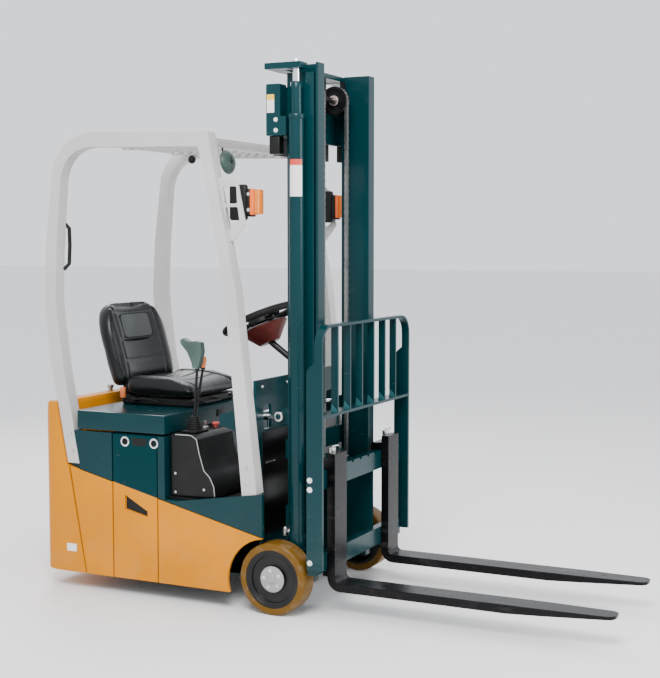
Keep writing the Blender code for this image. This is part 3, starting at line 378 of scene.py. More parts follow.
def mix_finishes(colours):
    """Make the truck's materials; the labels and the floor make their own."""
    black = (0.0025, 0.0025, 0.003)
    FINISH.update(
        yellow_paint=painted("yellow_paint", colours.yellow, 0.34, coat=0.03, shine=0.05),
        door_paint=painted("door_two_tone", colours.yellow, 0.34, coat=0.03, upper=colours.teal, shine=0.05),
        teal_paint=painted("teal_paint", colours.teal, 0.26, dirt=0.04, coat=0.12, shine=0.15),
        guard_paint=painted("guard_paint", colours.guard, 0.42, dirt=0.03, coat=0.15),
        black_steel=painted("black_steel", black, 0.36, dirt=0.02, coat=0.0),
        fork_steel=worn_steel("fork_steel", black),
        black_plastic=moulded("black_plastic", (0.003, 0.003, 0.003), 0.45),
        soft_rubber=moulded("soft_rubber", (0.0025, 0.0025, 0.0025), 0.62, 400),
        seat_vinyl=vinyl("seat_vinyl", colours.vinyl),
        seat_panel=vinyl("seat_grey_panel", (0.022, 0.026, 0.025), 0.36),
        tyre_polyurethane=polyurethane("tyre_polyurethane", colours.tyre),
        chrome=metal("ground_chrome", (0.80, 0.80, 0.82), 0.12, (0.4, 0.4, 6)),
        bare_steel=metal("bare_steel", (0.42, 0.41, 0.40), 0.36),
        zinc=metal("zinc_plate", (0.66, 0.66, 0.64), 0.30),
        hub_grey=painted("hub_grey", (0.30, 0.31, 0.30), 0.40, dirt=0.2, coat=0.1),
        chain_steel=metal("chain_steel", (0.30, 0.30, 0.29), 0.34),
        orange_lens=lens("orange_lens", (0.90, 0.14, 0.002), 0.10, 60),
        amber_lens=lens("amber_lens", (0.92, 0.24, 0.012), 0.25, 90),
        mirror_glass=metal("mirror_glass", (0.86, 0.88, 0.88), 0.07),
        # a lighter copy of the teal paint for the gussets: painted highlight, where they catch more light than the
        # teal round them
        gusset_teal=painted("gusset_teal", (0.020, 0.105, 0.115), 0.30, dirt=0.04, coat=0.1),
        knob_green=moulded("knob_green", (0.040, 0.066, 0.058), 0.30),
        knob_copper=moulded("knob_copper", (0.55, 0.15, 0.05), 0.22, 1500),
        knob_red=moulded("knob_red", (0.42, 0.07, 0.06), 0.30, 1500),
        shroud_red=moulded("shroud_red", (0.060, 0.009, 0.007), 0.45),
        white_plate=moulded("white_plate", (0.72, 0.72, 0.70), 0.40, 1500),
        sheave_hub=metal("sheave_hub", (0.80, 0.62, 0.58), 0.30))


# ---------------------------------------------------------------- making meshes
SHARP = radians(38)      # edges that turn more than this stay crisp
CORE = 0.0005            # a solid that is turned whole closes this far from its axis


class Shape:
    """Solids gathered in one mesh until they become a piece."""

    def __init__(self):
        self.work = bmesh.new()

    def round_off(self, new, radius, steps=3):
        if radius:
            edges = [e for v in new for e in v.link_edges]
            sharp = {e for e in edges if len(e.link_faces) == 2 and e.calc_face_angle() > 0.6}
            bmesh.ops.bevel(self.work, geom=list(sharp), offset=radius, segments=steps, affect="EDGES",
                            profile=0.5, clamp_overlap=True)

    def box(self, low, high, radius=0.0015):
        low, high = Vector(low), Vector(high)
        size = high - low
        matrix = Matrix.Translation((low + high) / 2) @ Matrix.Diagonal((*size, 1))
        new = bmesh.ops.create_cube(self.work, size=1, matrix=matrix)["verts"]
        self.round_off(new, min(radius, min(abs(s) for s in size) * 0.45))
        return self

    def rod(self, start, end, radius, end_radius=None, sides=32, soft=0.0):
        start, end = Vector(start), Vector(end)
        matrix = Matrix.Translation((start + end) / 2) @ facing(end - start)
        new = bmesh.ops.create_cone(self.work, cap_ends=True, segments=sides, radius1=radius,
                                    radius2=radius if end_radius is None else end_radius,
                                    depth=(end - start).length, matrix=matrix)["verts"]
        self.round_off(new, soft)
        return self

    def ball(self, centre, radius):
        bmesh.ops.create_uvsphere(self.work, u_segments=28, v_segments=18, radius=radius,
                                  matrix=Matrix.Translation(centre))
        return self

    def turned(self, profile, centre, axis, steps=72):
        """Spin a closed profile of (radius, height) points round an axis."""
        matrix = Matrix.Translation(centre) @ facing(axis)
        rings = []
        for i in range(steps):
            angle = tau * i / steps
            rings.append([self.work.verts.new(matrix @ Vector((r * cos(angle), r * sin(angle), h)))
                          for r, h in profile])
        count = len(profile)
        for i in range(steps):
            one, two = rings[i], rings[(i + 1) % steps]
            for k in range(count):
                self.work.faces.new((one[k], two[k], two[(k + 1) % count], one[(k + 1) % count]))
        return self

    def plate(self, outline, origin, right, up, thick, radius=0.0008):
        """A flat outline laid out from origin along two directions and given a thickness."""
        right, up = Vector(right), Vector(up)
        away = right.cross(up).normalized() * thick
        low = [self.work.verts.new(Vector(origin) + right * a + up * b) for a, b in outline]
        high = [self.work.verts.new(v.co + away) for v in low]
        self.work.faces.new(low[::-1])
        self.work.faces.new(high)
        for i in range(len(low)):
            k = (i + 1) % len(low)
            self.work.faces.new((low[i], low[k], high[k], high[i]))
        self.round_off(low + high, radius, 2)
        return self

    def tube(self, points, radius, sides=12, closed=False):
        """A round bar along a line of points."""
        points = [Vector(p) for p in points]
        count = len(points)
        rings = []
        side = None
        for i, point in enumerate(points):
            ahead = points[(i + 1) % count] if closed or i < count - 1 else point
            back = points[i - 1] if closed or i else point
            along = (ahead - back).normalized()
            if side is None:
                side = along.orthogonal().normalized()
            side = (side - along * side.dot(along)).normalized()
            other = along.cross(side)
            rings.append([self.work.verts.new(point + (side * cos(tau * k / sides)
                                                       + other * sin(tau * k / sides)) * radius)
                          for k in range(sides)])
        for i in range(count if closed else count - 1):
            one, two = rings[i], rings[(i + 1) % count]
            for k in range(sides):
                m = (k + 1) % sides
                self.work.faces.new((one[k], one[m], two[m], two[k]))
        if not closed:
            self.work.faces.new(rings[0][::-1])
            self.work.faces.new(rings[-1])
        return self

    def bolt(self, place, axis, radius):
        """A hexagon head on a washer."""
        place, axis = Vector(place), Vector(axis).normalized()
        under, washer, head = place - axis * 0.001, radius * 0.22, radius * 0.75
        self.rod(under, place + axis * washer, radius * 1.35, sides=24)
        self.rod(under, place + axis * (head + washer), radius, radius * 0.94, sides=6, soft=radius * 0.08)
        return self

    def piece(self, name, finish, body="truck", slot="black_plastic"):
        """Close the mesh up as one object, on a body if one is named."""
        bmesh.ops.recalc_face_normals(self.work, faces=self.work.faces)
        mesh = bpy.data.meshes.new(name)
        self.work.to_mesh(mesh)
        self.work.free()
        mesh.shade_smooth()
        mesh.set_sharp_from_angle(angle=SHARP)
        made = bpy.data.objects.new(name, mesh)
        bpy.context.scene.collection.objects.link(made)
        mesh.materials.append(FINISH[finish])
        if body:
            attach(made, body)
        return made


def bolts(name, spots, radius, finish="zinc", body="truck"):
    """Bolt heads at a list of (place, axis), as one piece."""
    heads = Shape()
    for place, axis in spots:
        heads.bolt(place, axis, radius)
    return heads.piece(name, finish, body, "bare_steel")


def facing(axis):
    """Rotation that turns +Z onto an axis."""
    return Z.rotation_difference(Vector(axis)).to_matrix().to_4x4()


def ring(centre, axis, radius, count, start=0.0):
    """Places on a circle round an axis."""
    turn = facing(axis)
    spots = []
    for i in range(count):
        angle = start + tau * i / count
        spots.append(Vector(centre) + turn @ Vector((radius * cos(angle), radius * sin(angle), 0)))
    return spots


def round_corners(width, height, radius, steps=5):
    """Outline of a rounded rectangle centred on the origin."""
    points = []
    for cx, cy, begin in ((1, 1, 0), (-1, 1, 90), (-1, -1, 180), (1, -1, 270)):
        for k in range(steps + 1):
            angle = radians(begin + 90 * k / steps)
            points.append((cx * (width / 2 - radius) + radius * cos(angle),
                           cy * (height / 2 - radius) + radius * sin(angle)))
    return points


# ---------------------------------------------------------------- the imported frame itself
ROUNDED = {"side_console": 1.4, "counterweight": 1.8, "seat_base": 0.7, "steering_column": 1.0,
           "drive_unit": 0.7, "hood": 0.9}
PAINTED_AS = {"battery_door_right": "door_paint", "battery_door_left": "door_paint",
              "fork_right": "fork_steel", "fork_left": "fork_steel", "floor_plate": "soft_rubber",
              "pedals": "soft_rubber", "chain_sheaves": "black_steel"}


class FORKLIFT_OT_frame(bpy.types.Operator):
    """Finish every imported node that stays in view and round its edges"""
    bl_idname = "forklift.frame"
    bl_label = "Finish the frame"

    def execute(self, context):
        sizes = context.scene.forklift_sizes
        mix_finishes(context.scene.forklift_colours)
        slots = {row["node"]: row["material_slot"] for row in frame["record"]["subparts"]}
        for name, node in frame["nodes"].items():
            node.data.materials.clear()
            node.data.materials.append(FINISH.get(PAINTED_AS.get(name, slots[name]), FINISH["bare_steel"]))
            if "custom_normal" in node.data.attributes:
                node.data.attributes.remove(node.data.attributes["custom_normal"])
            node.data.shade_smooth()
            weld = node.modifiers.new("weld", "WELD")
            weld.merge_threshold = 0.00005
            edge = node.modifiers.new("edge", "BEVEL")
            edge.width = ROUNDED[name] * sizes.soft_edge if name in ROUNDED else sizes.edge
            edge.segments = 4 if name in ROUNDED else 2
            edge.limit_method = "ANGLE"
            edge.angle_limit = radians(40)
            edge.harden_normals = True
            even = node.modifiers.new("even", "WEIGHTED_NORMAL")
            even.keep_sharp = False
        return {"FINISHED"}


# ---------------------------------------------------------------- wheels
class FORKLIFT_OT_wheels(bpy.types.Operator):
    """Tyre bands with rounded shoulders, dished rims, and bolted hub caps"""
    bl_idname = "forklift.wheels"
    bl_label = "Wheels"

    def execute(self, context):
        bolt = context.scene.forklift_sizes.bolt
        for side, hand in SIDES:
            self.wheel("front_tyre_" + hand, "front_rim_" + hand, "front_wheel_" + hand, side, bolt)
        self.wheel("drive_tyre", "drive_rim", "drive_wheel", 1, bolt)
        return {"FINISHED"}

    def wheel(self, tyre, rim, body, side, bolt):
        low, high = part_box(tyre)
        centre = middle(tyre)
        radius, half = (high.z - low.z) / 2, (high.y - low.y) / 2
        rim_low, rim_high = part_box(rim)
        inner = (rim_high.z - rim_low.z) / 2 + 0.0003
        axis = Y * side
        shoulder = 0.011
        crown = [(radius - shoulder + shoulder * sin(a), half - shoulder + shoulder * cos(a))
                 for a in (radians(15 * i) for i in range(7))]
        foot = [(r, -h) for r, h in reversed(crown)]
        section = [(inner, half - 0.001)] + crown + foot + [(inner, 0.001 - half)]
        band = Shape().turned(section, centre, axis, 96)
        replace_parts(band.piece(tyre + "_band", "tyre_polyurethane", body, "tyre_polyurethane"), tyre)
        face = centre + axis * (half - 0.004)
        cap = Shape()
        cap.turned([(CORE, 0.006), (0.020, 0.006), (0.022, 0.004), (0.048, 0.003), (0.0535, 0.000),
                    (0.0555, -0.006), (CORE, -0.006)], face, axis, 64)
        cap.turned([(CORE, 0.013), (0.010, 0.012), (0.0135, 0.008), (0.0135, 0.004), (CORE, 0.004)],
                   face, axis, 40)
        cap.piece(body + "_hub_cap", "hub_grey", body, "bare_steel")
        studs = [(spot, axis) for spot in ring(face + axis * 0.0028, axis, 0.036, 5, 0.5)]
        bolts(body + "_hub_bolts", studs, bolt * 0.72, body=body)
        bead = [(inner - 0.0245, -0.018), (inner - 0.022, -0.006), (inner - 0.010, 0.0015),
                (inner - 0.0045, 0.0020), (inner - 0.0015, 0.000), (inner - 0.0015, -0.004),
                (inner - 0.012, -0.008), (inner - 0.020, -0.020)]
        Shape().turned(bead, face, axis, 80).piece(body + "_rim_bead", "black_steel", body, "black_steel")


# ---------------------------------------------------------------- seat
FOAM_ROUNDING = 0.38                  # share of a foam block's least size
AIR_PRESSURE, CLOTH_STEPS = 1.2, 12
RELAX_SHARE, RELAX_ROUNDS = 0.7, 14
FLANK = 0.25                          # a cover that faces less than this towards the driver is its side
DISH = 0.020                          # depth of the hollow in the middle of a cover
STITCH = 0.006                        # half width of a seam's groove
LEAN = radians(16)                    # of the seat back


def stitched(distance):
    """1 on a seam, fading to 0 beside it."""
    return exp(-(distance / STITCH) ** 2)


def dished(across):
    """Depth of the hollow between the bolsters."""
    return DISH * max(0.0, 1 - (across / 0.17) ** 2)


class FORKLIFT_OT_seat(bpy.types.Operator):
    """Sewn cushion and back with bolsters, a grey head panel, piping, and the recliner lever"""
    bl_idname = "forklift.seat"
    bl_label = "Seat"

    def execute(self, context):
        sizes = context.scene.forklift_sizes
        low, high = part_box("seat_cushion")
        self.cushion(low, high, sizes)
        self.backrest(sizes)
        self.fittings(low, high)
        return {"FINISHED"}

    def puffed(self, name, low, high, taper, sizes):
        """A foam block blown up under its cover."""
        block = Shape().box(low, high, min(high[i] - low[i] for i in range(3)) * FOAM_ROUNDING)
        made = block.piece(name, "seat_vinyl", None, None)
        remesh = made.modifiers.new("remesh", "REMESH")
        remesh.mode = "VOXEL"
        remesh.voxel_size = sizes.voxel
        apply_modifiers(made)
        for vertex in made.data.vertices:
            taper(vertex.co)
        before = [v.co.copy() for v in made.data.vertices]
        cloth = made.modifiers.new("cloth", "CLOTH")
        cloth.settings.use_pressure = True
        cloth.settings.uniform_pressure_force = AIR_PRESSURE
        cloth.settings.effector_weights.gravity = 0
        for step in range(1, CLOTH_STEPS + 1):
            bpy.context.scene.frame_set(step)
        apply_modifiers(made)
        for vertex, start in zip(made.data.vertices, before):
            shift = vertex.co - start
            if shift.length > sizes.seat_swell:
                vertex.co = start + shift.normalized() * sizes.seat_swell
        bpy.context.scene.frame_set(1)
        relax = made.modifiers.new("relax", "SMOOTH")
        relax.factor = RELAX_SHARE
        relax.iterations = RELAX_ROUNDS
        apply_modifiers(made)
        return made

    def sew(self, made, depth_at):
        """Sink the seams and the panels, along the cover's own normals."""
        normals = [v.normal.copy() for v in made.data.vertices]
        for vertex, normal in zip(made.data.vertices, normals):
            vertex.co -= normal * depth_at(vertex.co, normal)
        made.data.update()

    def settle(self, made, node, low, high):
        """Scale the finished cover so that it fills its place and no more."""
        points = [v.co for v in made.data.vertices]
        have_low = Vector([min(p[i] for p in points) for i in range(3)])
        have_high = Vector([max(p[i] for p in points) for i in range(3)])
        for vertex in made.data.vertices:
            for i in range(3):
                share = (vertex.co[i] - have_low[i]) / (have_high[i] - have_low[i])
                vertex.co[i] = low[i] + (high[i] - low[i]) * share
        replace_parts(made, node)

    def finish_cover(self, made):
        smooth = made.modifiers.new("smooth", "SUBSURF")
        smooth.levels = 1
        smooth.render_levels = 1
        apply_modifiers(made)
        made.data.shade_smooth()

    def cushion(self, low, high, sizes):
        inset = Vector((0.014, 0.014, 0.014))

        def taper(co):
            nose = max(0.0, (co.x - low.x) / (high.x - low.x) - 0.55)
            co.z -= nose * 0.07 if co.z > (low.z + high.z) / 2 else 0

        made = self.puffed("seat_cushion_cover", low + inset, high - inset, taper, sizes)
        centre = middle("seat_cushion")

        def depth_at(co, normal):
            if normal.z < FLANK:
                return 0.0
            across = abs(co.y - centre.y)
            seam = stitched(across - 0.148)
            rib = sum(stitched(co.x - centre.x - x) for x in (-0.10, -0.02, 0.06))
            hollow = dished(across) * (0.3 + 0.7 * min(1.0, (high.x - co.x) / 0.20))
            inside = 1.0 if across < 0.145 else 0.0
            return sizes.groove * (seam + 0.7 * rib * inside) + hollow

        self.sew(made, depth_at)
        self.settle(made, "seat_cushion", low, high)
        self.finish_cover(made)
        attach(made, "hood_lid")

    def backrest(self, sizes):
        """Built upright with its foot at the origin, then leaned back into place."""
        low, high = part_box("seat_back")
        tall, thick = 0.385, 0.100
        wide = high.y - low.y
        foot = Vector((high.x - thick / 2 * cos(LEAN), 0, low.z + thick / 2 * sin(LEAN)))
        place = Matrix.Translation(foot) @ Matrix.Rotation(-LEAN, 4, "Y")
        block_low = Vector((-thick / 2, -wide / 2, 0.0))
        block_high = Vector((thick / 2, wide / 2, tall))
        inset = Vector((0.012, 0.014, 0.014))

        def taper(co):
            crown = max(0.0, co.z / tall - 0.50) / 0.50
            waist = max(0.0, 0.30 - co.z / tall) / 0.30
            co.y *= (1 - 0.75 * crown ** 2.8) ** 0.5 * (1 - 0.08 * waist)
            co.x += 0.016 * (abs(co.y) / wide * 2) ** 3

        made = self.puffed("seat_back_cover", block_low + inset, block_high - inset, taper, sizes)
        panel = (0.205, 0.330)

        def depth_at(co, normal):
            if normal.x < FLANK:
                return 0.0
            across = abs(co.y)
            seam = stitched(across - 0.150) if co.z < 0.36 else 0
            cross = sum(stitched(co.z - z) for z in (0.115, *panel)) if across < 0.152 else 0
            return sizes.groove * max(seam, cross) + dished(across)

        self.sew(made, depth_at)
        self.settle(made, "seat_back", block_low, block_high)
        self.finish_cover(made)
        made.matrix_world = place
        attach(made, "hood_lid")
        width, height = 0.230, panel[1] - panel[0] - 0.016
        centre_z = (panel[0] + panel[1]) / 2
        front, proud = thick / 2 - DISH, 0.0055
        outline = round_corners(width, height, 0.022)
        up = place.to_3x3() @ Z
        inlay = Shape().plate(outline, place @ Vector((front, 0, centre_z)), Y, up, proud, 0.002)
        inlay.piece("seat_head_panel", "seat_panel", "hood_lid", "seat_vinyl")
        line = [place @ Vector((front + proud, y, centre_z + z))
                for y, z in round_corners(width + 0.004, height + 0.004, 0.024, 8)]
        piping = Shape().tube(line, 0.0028, 10, closed=True)
        piping.piece("seat_piping", "soft_rubber", "hood_lid", "seat_vinyl")

    def fittings(self, low, high):
        rails = Shape()
        for y in (low.y + 0.075, high.y - 0.075):
            rails.box((low.x + 0.02, y - 0.014, low.z - 0.022), (high.x - 0.03, y + 0.014, low.z - 0.004),
                      0.002)
        rails.piece("seat_rails", "bare_steel", "hood_lid", "bare_steel")
        pivot = Vector((low.x + 0.045, low.y + 0.004, low.z - 0.012))
        lever = Shape().rod(pivot + Y * 0.02, pivot - Y * 0.006, 0.013, soft=0.002)
        lever.tube([pivot + Vector(step) for step in ((0, -0.003, 0), (0.05, -0.004, 0.006),
                                                      (0.11, -0.006, 0.002), (0.135, -0.005, -0.006))],
                   0.0048, 14)
        lever.piece("seat_recliner_lever", "black_steel", "hood_lid", "chrome")
        loop = [(-0.03, 0.10, -0.016), (0.006, 0.10, -0.020), (0.006, 0.24, -0.020), (-0.03, 0.24, -0.016)]
        front = Vector((high.x, low.y, low.z))
        slide = Shape().tube([front + Vector(step) for step in loop], 0.004)
        slide.piece("seat_slide_bar", "black_plastic", "hood_lid")
        cover = Shape().box((low.x - 0.050, low.y + 0.050, low.z + 0.002),
                            (low.x + 0.030, high.y - 0.050, low.z + 0.072), 0.012)
        cover.piece("seat_joint_cover", "soft_rubber", "hood_lid", "seat_vinyl")
        buckle = Shape().box(low + Vector((-0.030, 0.004, -0.008)), low + Vector((-0.008, 0.020, 0.040)),
                             0.003)
        buckle.piece("belt_buckle", "knob_copper", "hood_lid")


def apply_modifiers(made):
    bpy.context.view_layer.update()
    evaluated = made.evaluated_get(bpy.context.evaluated_depsgraph_get())
    mesh = bpy.data.meshes.new_from_object(evaluated)
    made.modifiers.clear()
    made.data = mesh


# ---------------------------------------------------------------- steering and controls
class FORKLIFT_OT_steering(bpy.types.Operator):
    """Steering wheel with a moulded rim, spokes, horn button and spinner knob, and the column's shroud"""
    bl_idname = "forklift.steering"
    bl_label = "Steering"

    def execute(self, context):
        hub, axis = Vector(joint("steering_turn")["pos_m"]), direction("steering_turn")
        low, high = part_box("steering_wheel")
        grip = 0.0157
        radius = (high.y - low.y) / 2 - grip
        wheel = Shape().tube(ring(hub, axis, radius, 96), grip, 20, closed=True)
        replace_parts(wheel.piece("steering_rim", "soft_rubber", "steering_wheel"), "steering_wheel")
        turn = Matrix.Translation(hub) @ facing(axis)
        arms = Shape()
        for angle in (90, 210, 330):
            spoke = turn @ Matrix.Rotation(radians(angle), 4, "Z")
            path = [(0.030, -0.010), (0.080, -0.009), (0.130, -0.005), (radius - 0.004, -0.001)]
            for y in (-0.008, 0.008):
                arms.tube([spoke @ Vector((r, y * (1 - r), h)) for r, h in path], 0.0075, 12)
        arms.turned([(CORE, 0.016), (0.040, 0.015), (0.055, 0.009), (0.062, -0.004), (0.061, -0.020),
                     (0.048, -0.026), (CORE, -0.026)], hub, axis, 64)
        arms.piece("steering_spokes", "black_plastic", "steering_wheel")
        horn = [(CORE, 0.0215), (0.015, 0.020), (0.022, 0.017), (0.0235, 0.014), (0.0235, 0.011),
                (CORE, 0.011)]
        Shape().turned(horn, hub, axis, 48).piece("horn_button", "knob_red", "steering_wheel")
        knob = [(CORE, 0.036), (0.010, 0.035), (0.017, 0.030), (0.020, 0.022), (0.018, 0.012),
                (0.012, 0.006), (0.010, -0.002), (CORE, -0.002)]
        post = turn @ Vector((0, radius - 0.006, 0.008))
        Shape().turned(knob, post, axis, 40).piece("spinner_knob", "soft_rubber", "steering_wheel")
        self.column(hub, axis)
        return {"FINISHED"}

    def column(self, hub, axis):
        bowl = [(0.1060, -0.0390), (0.1090, -0.0400), (0.1095, -0.0440), (0.0830, -0.0740), (0.0500, -0.1125),
                (0.0460, -0.1145), (CORE, -0.1145), (CORE, -0.0390)]
        shroud = Shape().turned(bowl, hub, axis, 72)
        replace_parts(shroud.piece("column_shroud", "shroud_red"), "steering_column")
        low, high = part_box("steering_column")
        foot = Vector((high.x - 0.016, 0, low.z + 0.004))
        knee = hub - axis * 0.125 + X * 0.020
        pipe = Shape().tube([hub - axis * 0.100, knee, foot + Vector((-0.020, 0, 0.045)), foot], 0.0145, 20)
        pipe.turned([(CORE, 0.012), (0.022, 0.012), (0.026, 0.009), (0.026, -0.002), (CORE, -0.002)],
                    foot, Z, 40)
        pipe.piece("column_pipe", "black_steel")
        collar = [(CORE, -0.0330), (0.0940, -0.0330), (0.1060, -0.0360), (0.1085, -0.0385),
                  (0.1040, -0.0395), (CORE, -0.0395)]
        Shape().turned(collar, hub, axis, 72).piece("column_collar", "black_plastic")
        root = hub - axis * 0.060 + Y * 0.045
        bend, end = root + Vector((0.0, 0.035, 0.008)), root + Vector((-0.004, 0.085, 0.016))
        stalk = Shape().tube([root, bend, end], 0.004)
        stalk.rod(root + Vector((-0.004, 0.080, 0.015)), root + Vector((-0.006, 0.118, 0.022)), 0.0085,
                  0.010, soft=0.003)
        stalk.piece("direction_stalk", "black_plastic")


class FORKLIFT_OT_controls(bpy.types.Operator):
    """Levers with a ribbed gaiter, switches, a top bead and bolts of the console, a grey bead on its edge as
    painted highlight, and pedal treads
    """
    bl_idname = "forklift.controls"
    bl_label = "Console and pedals"

    def execute(self, context):
        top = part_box("control_levers")[0].z
        plate = Shape().box(at(-0.470, -0.402, top), at(-0.392, -0.298, top + 0.011), 0.004)
        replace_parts(plate.piece("lever_plate", "black_plastic"), "control_levers")
        self.gaiter(top)
        self.levers(top)
        self.console(top)
        self.pedals()
        return {"FINISHED"}

    def gaiter(self, top):
        outline = [(CORE, 0.010)]
        ribs, depth = 7, 0.0022
        for i in range(ribs):
            share = i / ribs
            radius = 0.036 * (1 - share) + 0.015 * share
            outline += [(radius + depth, 0.010 + 0.064 * share), (radius - depth, 0.0145 + 0.064 * share)]
        outline += [(CORE, 0.078)]
        gaiter = Shape().turned(outline[::-1], at(-0.431, -0.350, top), Z, 48)
        gaiter.piece("lever_gaiter", "soft_rubber")

    def levers(self, top):
        """A palm grip on the lift lever and a round knob on the tilt lever."""
        rods = Shape()
        socket = [(0.0062, 0.004), (0.010, 0.002), (0.010, -0.010), (0.0062, -0.012), (0.004, -0.010),
                  (0.004, 0.002)]
        for x, y in ((-0.405, -0.367), (-0.396, -0.333)):
            foot, tip = at(-0.429, -0.350 + (y + 0.350) * 0.25, top + 0.070), at(x, y, top + 0.280)
            rods.rod(foot, tip, 0.0062, 0.0055, soft=0.001)
            rods.turned(socket, tip, tip - foot, 28)
        rods.piece("lever_stems", "black_steel", "truck", "black_steel")
        palm = [(-0.070, 0.112), (-0.064, 0.094), (-0.034, 0.062), (-0.014, 0.020), (-0.008, -0.006),
                (0.014, -0.008), (0.025, 0.014), (0.037, 0.066), (0.032, 0.104), (0.006, 0.110),
                (-0.028, 0.106), (-0.054, 0.120)]
        grip = Shape().plate(palm, at(-0.411, -0.383, top + 0.282), X, Z, -0.030, 0.009)
        grip.piece("lever_grip_lift", "knob_green")
        knob = [(CORE, 0.050), (0.011, 0.048), (0.017, 0.042), (0.0175, 0.030), (0.013, 0.014),
                (0.0105, 0.004), (0.010, 0.000), (CORE, 0.000)]
        copper = Shape().turned(knob, at(-0.396, -0.333, top + 0.276), Vector((-0.1, 0, 1)), 40)
        copper.piece("lever_knob_tilt", "knob_copper")

    def console(self, top):
        face = side_face("side_console", -1)
        screws = [(at(x, face, z), -Y) for x, z in ((-0.470, 0.550), (-0.470, 0.470), (-0.330, 0.490))]
        bolts("console_bolts", screws, 0.0040)
        # a light grey tube along the console's curved front edge: painted highlight of the rounded edge
        line = [(-0.470, 0.7150), (-0.392, 0.7150), (-0.366, 0.700), (-0.353, 0.640), (-0.331, 0.571),
                (-0.302, 0.543), (-0.283, 0.505), (-0.279, 0.466)]
        bead = Shape().tube([at(x, face + 0.001, z) for x, z in line], 0.0022, 10)
        bead.piece("console_edge_painted_highlight", "hub_grey")
        spot = at(-0.455, -0.225, top - 0.001)
        switch = Shape().turned([(CORE, 0.010), (0.011, 0.010), (0.0145, 0.007), (0.0155, 0.002),
                                 (0.0155, -0.002), (CORE, -0.002)], spot, Z, 40)
        switch.box(spot + Vector((-0.0018, -0.009, 0.010)), spot + Vector((0.0018, 0.009, 0.032)), 0.0008)
        switch.piece("key_switch", "zinc", "truck", "bare_steel")
        mushroom = [(CORE, 0.024), (0.014, 0.023), (0.0175, 0.020), (0.0175, 0.013), (0.010, 0.012),
                    (0.010, -0.002), (CORE, -0.002)]
        stop = Shape().turned(mushroom, at(-0.430, -0.175, top - 0.001), Z, 40)
        stop.piece("stop_button", "knob_red")
        rim = [at(-0.445 + x, -0.200 + y, top + 0.0008) for x, y in round_corners(0.085, 0.100, 0.014)]
        Shape().tube(rim, 0.0018, 8, closed=True).piece("console_top_bead", "black_plastic")

    def pedals(self):
        low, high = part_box("floor_plate")
        treads = Shape()
        half = Vector((0.002, 0.025, 0.0025))
        lean = Matrix.Rotation(radians(-35), 4, "Y")
        for y in (-0.085, 0.080):
            pad = Matrix.Translation(at(-0.178, y, high.z + 0.1103)) @ lean
            for i in range(7):
                rib = pad @ Vector((-0.0095, 0, -0.036 + 0.012 * i))
                treads.box(rib - half, rib + half, 0.001)
        treads.piece("pedal_treads", "soft_rubber")
        mat = Shape()
        for i in range(13):
            y = -0.105 + 0.042 * i
            mat.box((low.x + 0.02, y - 0.006, high.z - 0.001), (high.x - 0.10, y + 0.006, high.z + 0.0022),
                    0.001)
        mat.piece("floor_mat_ribs", "soft_rubber")


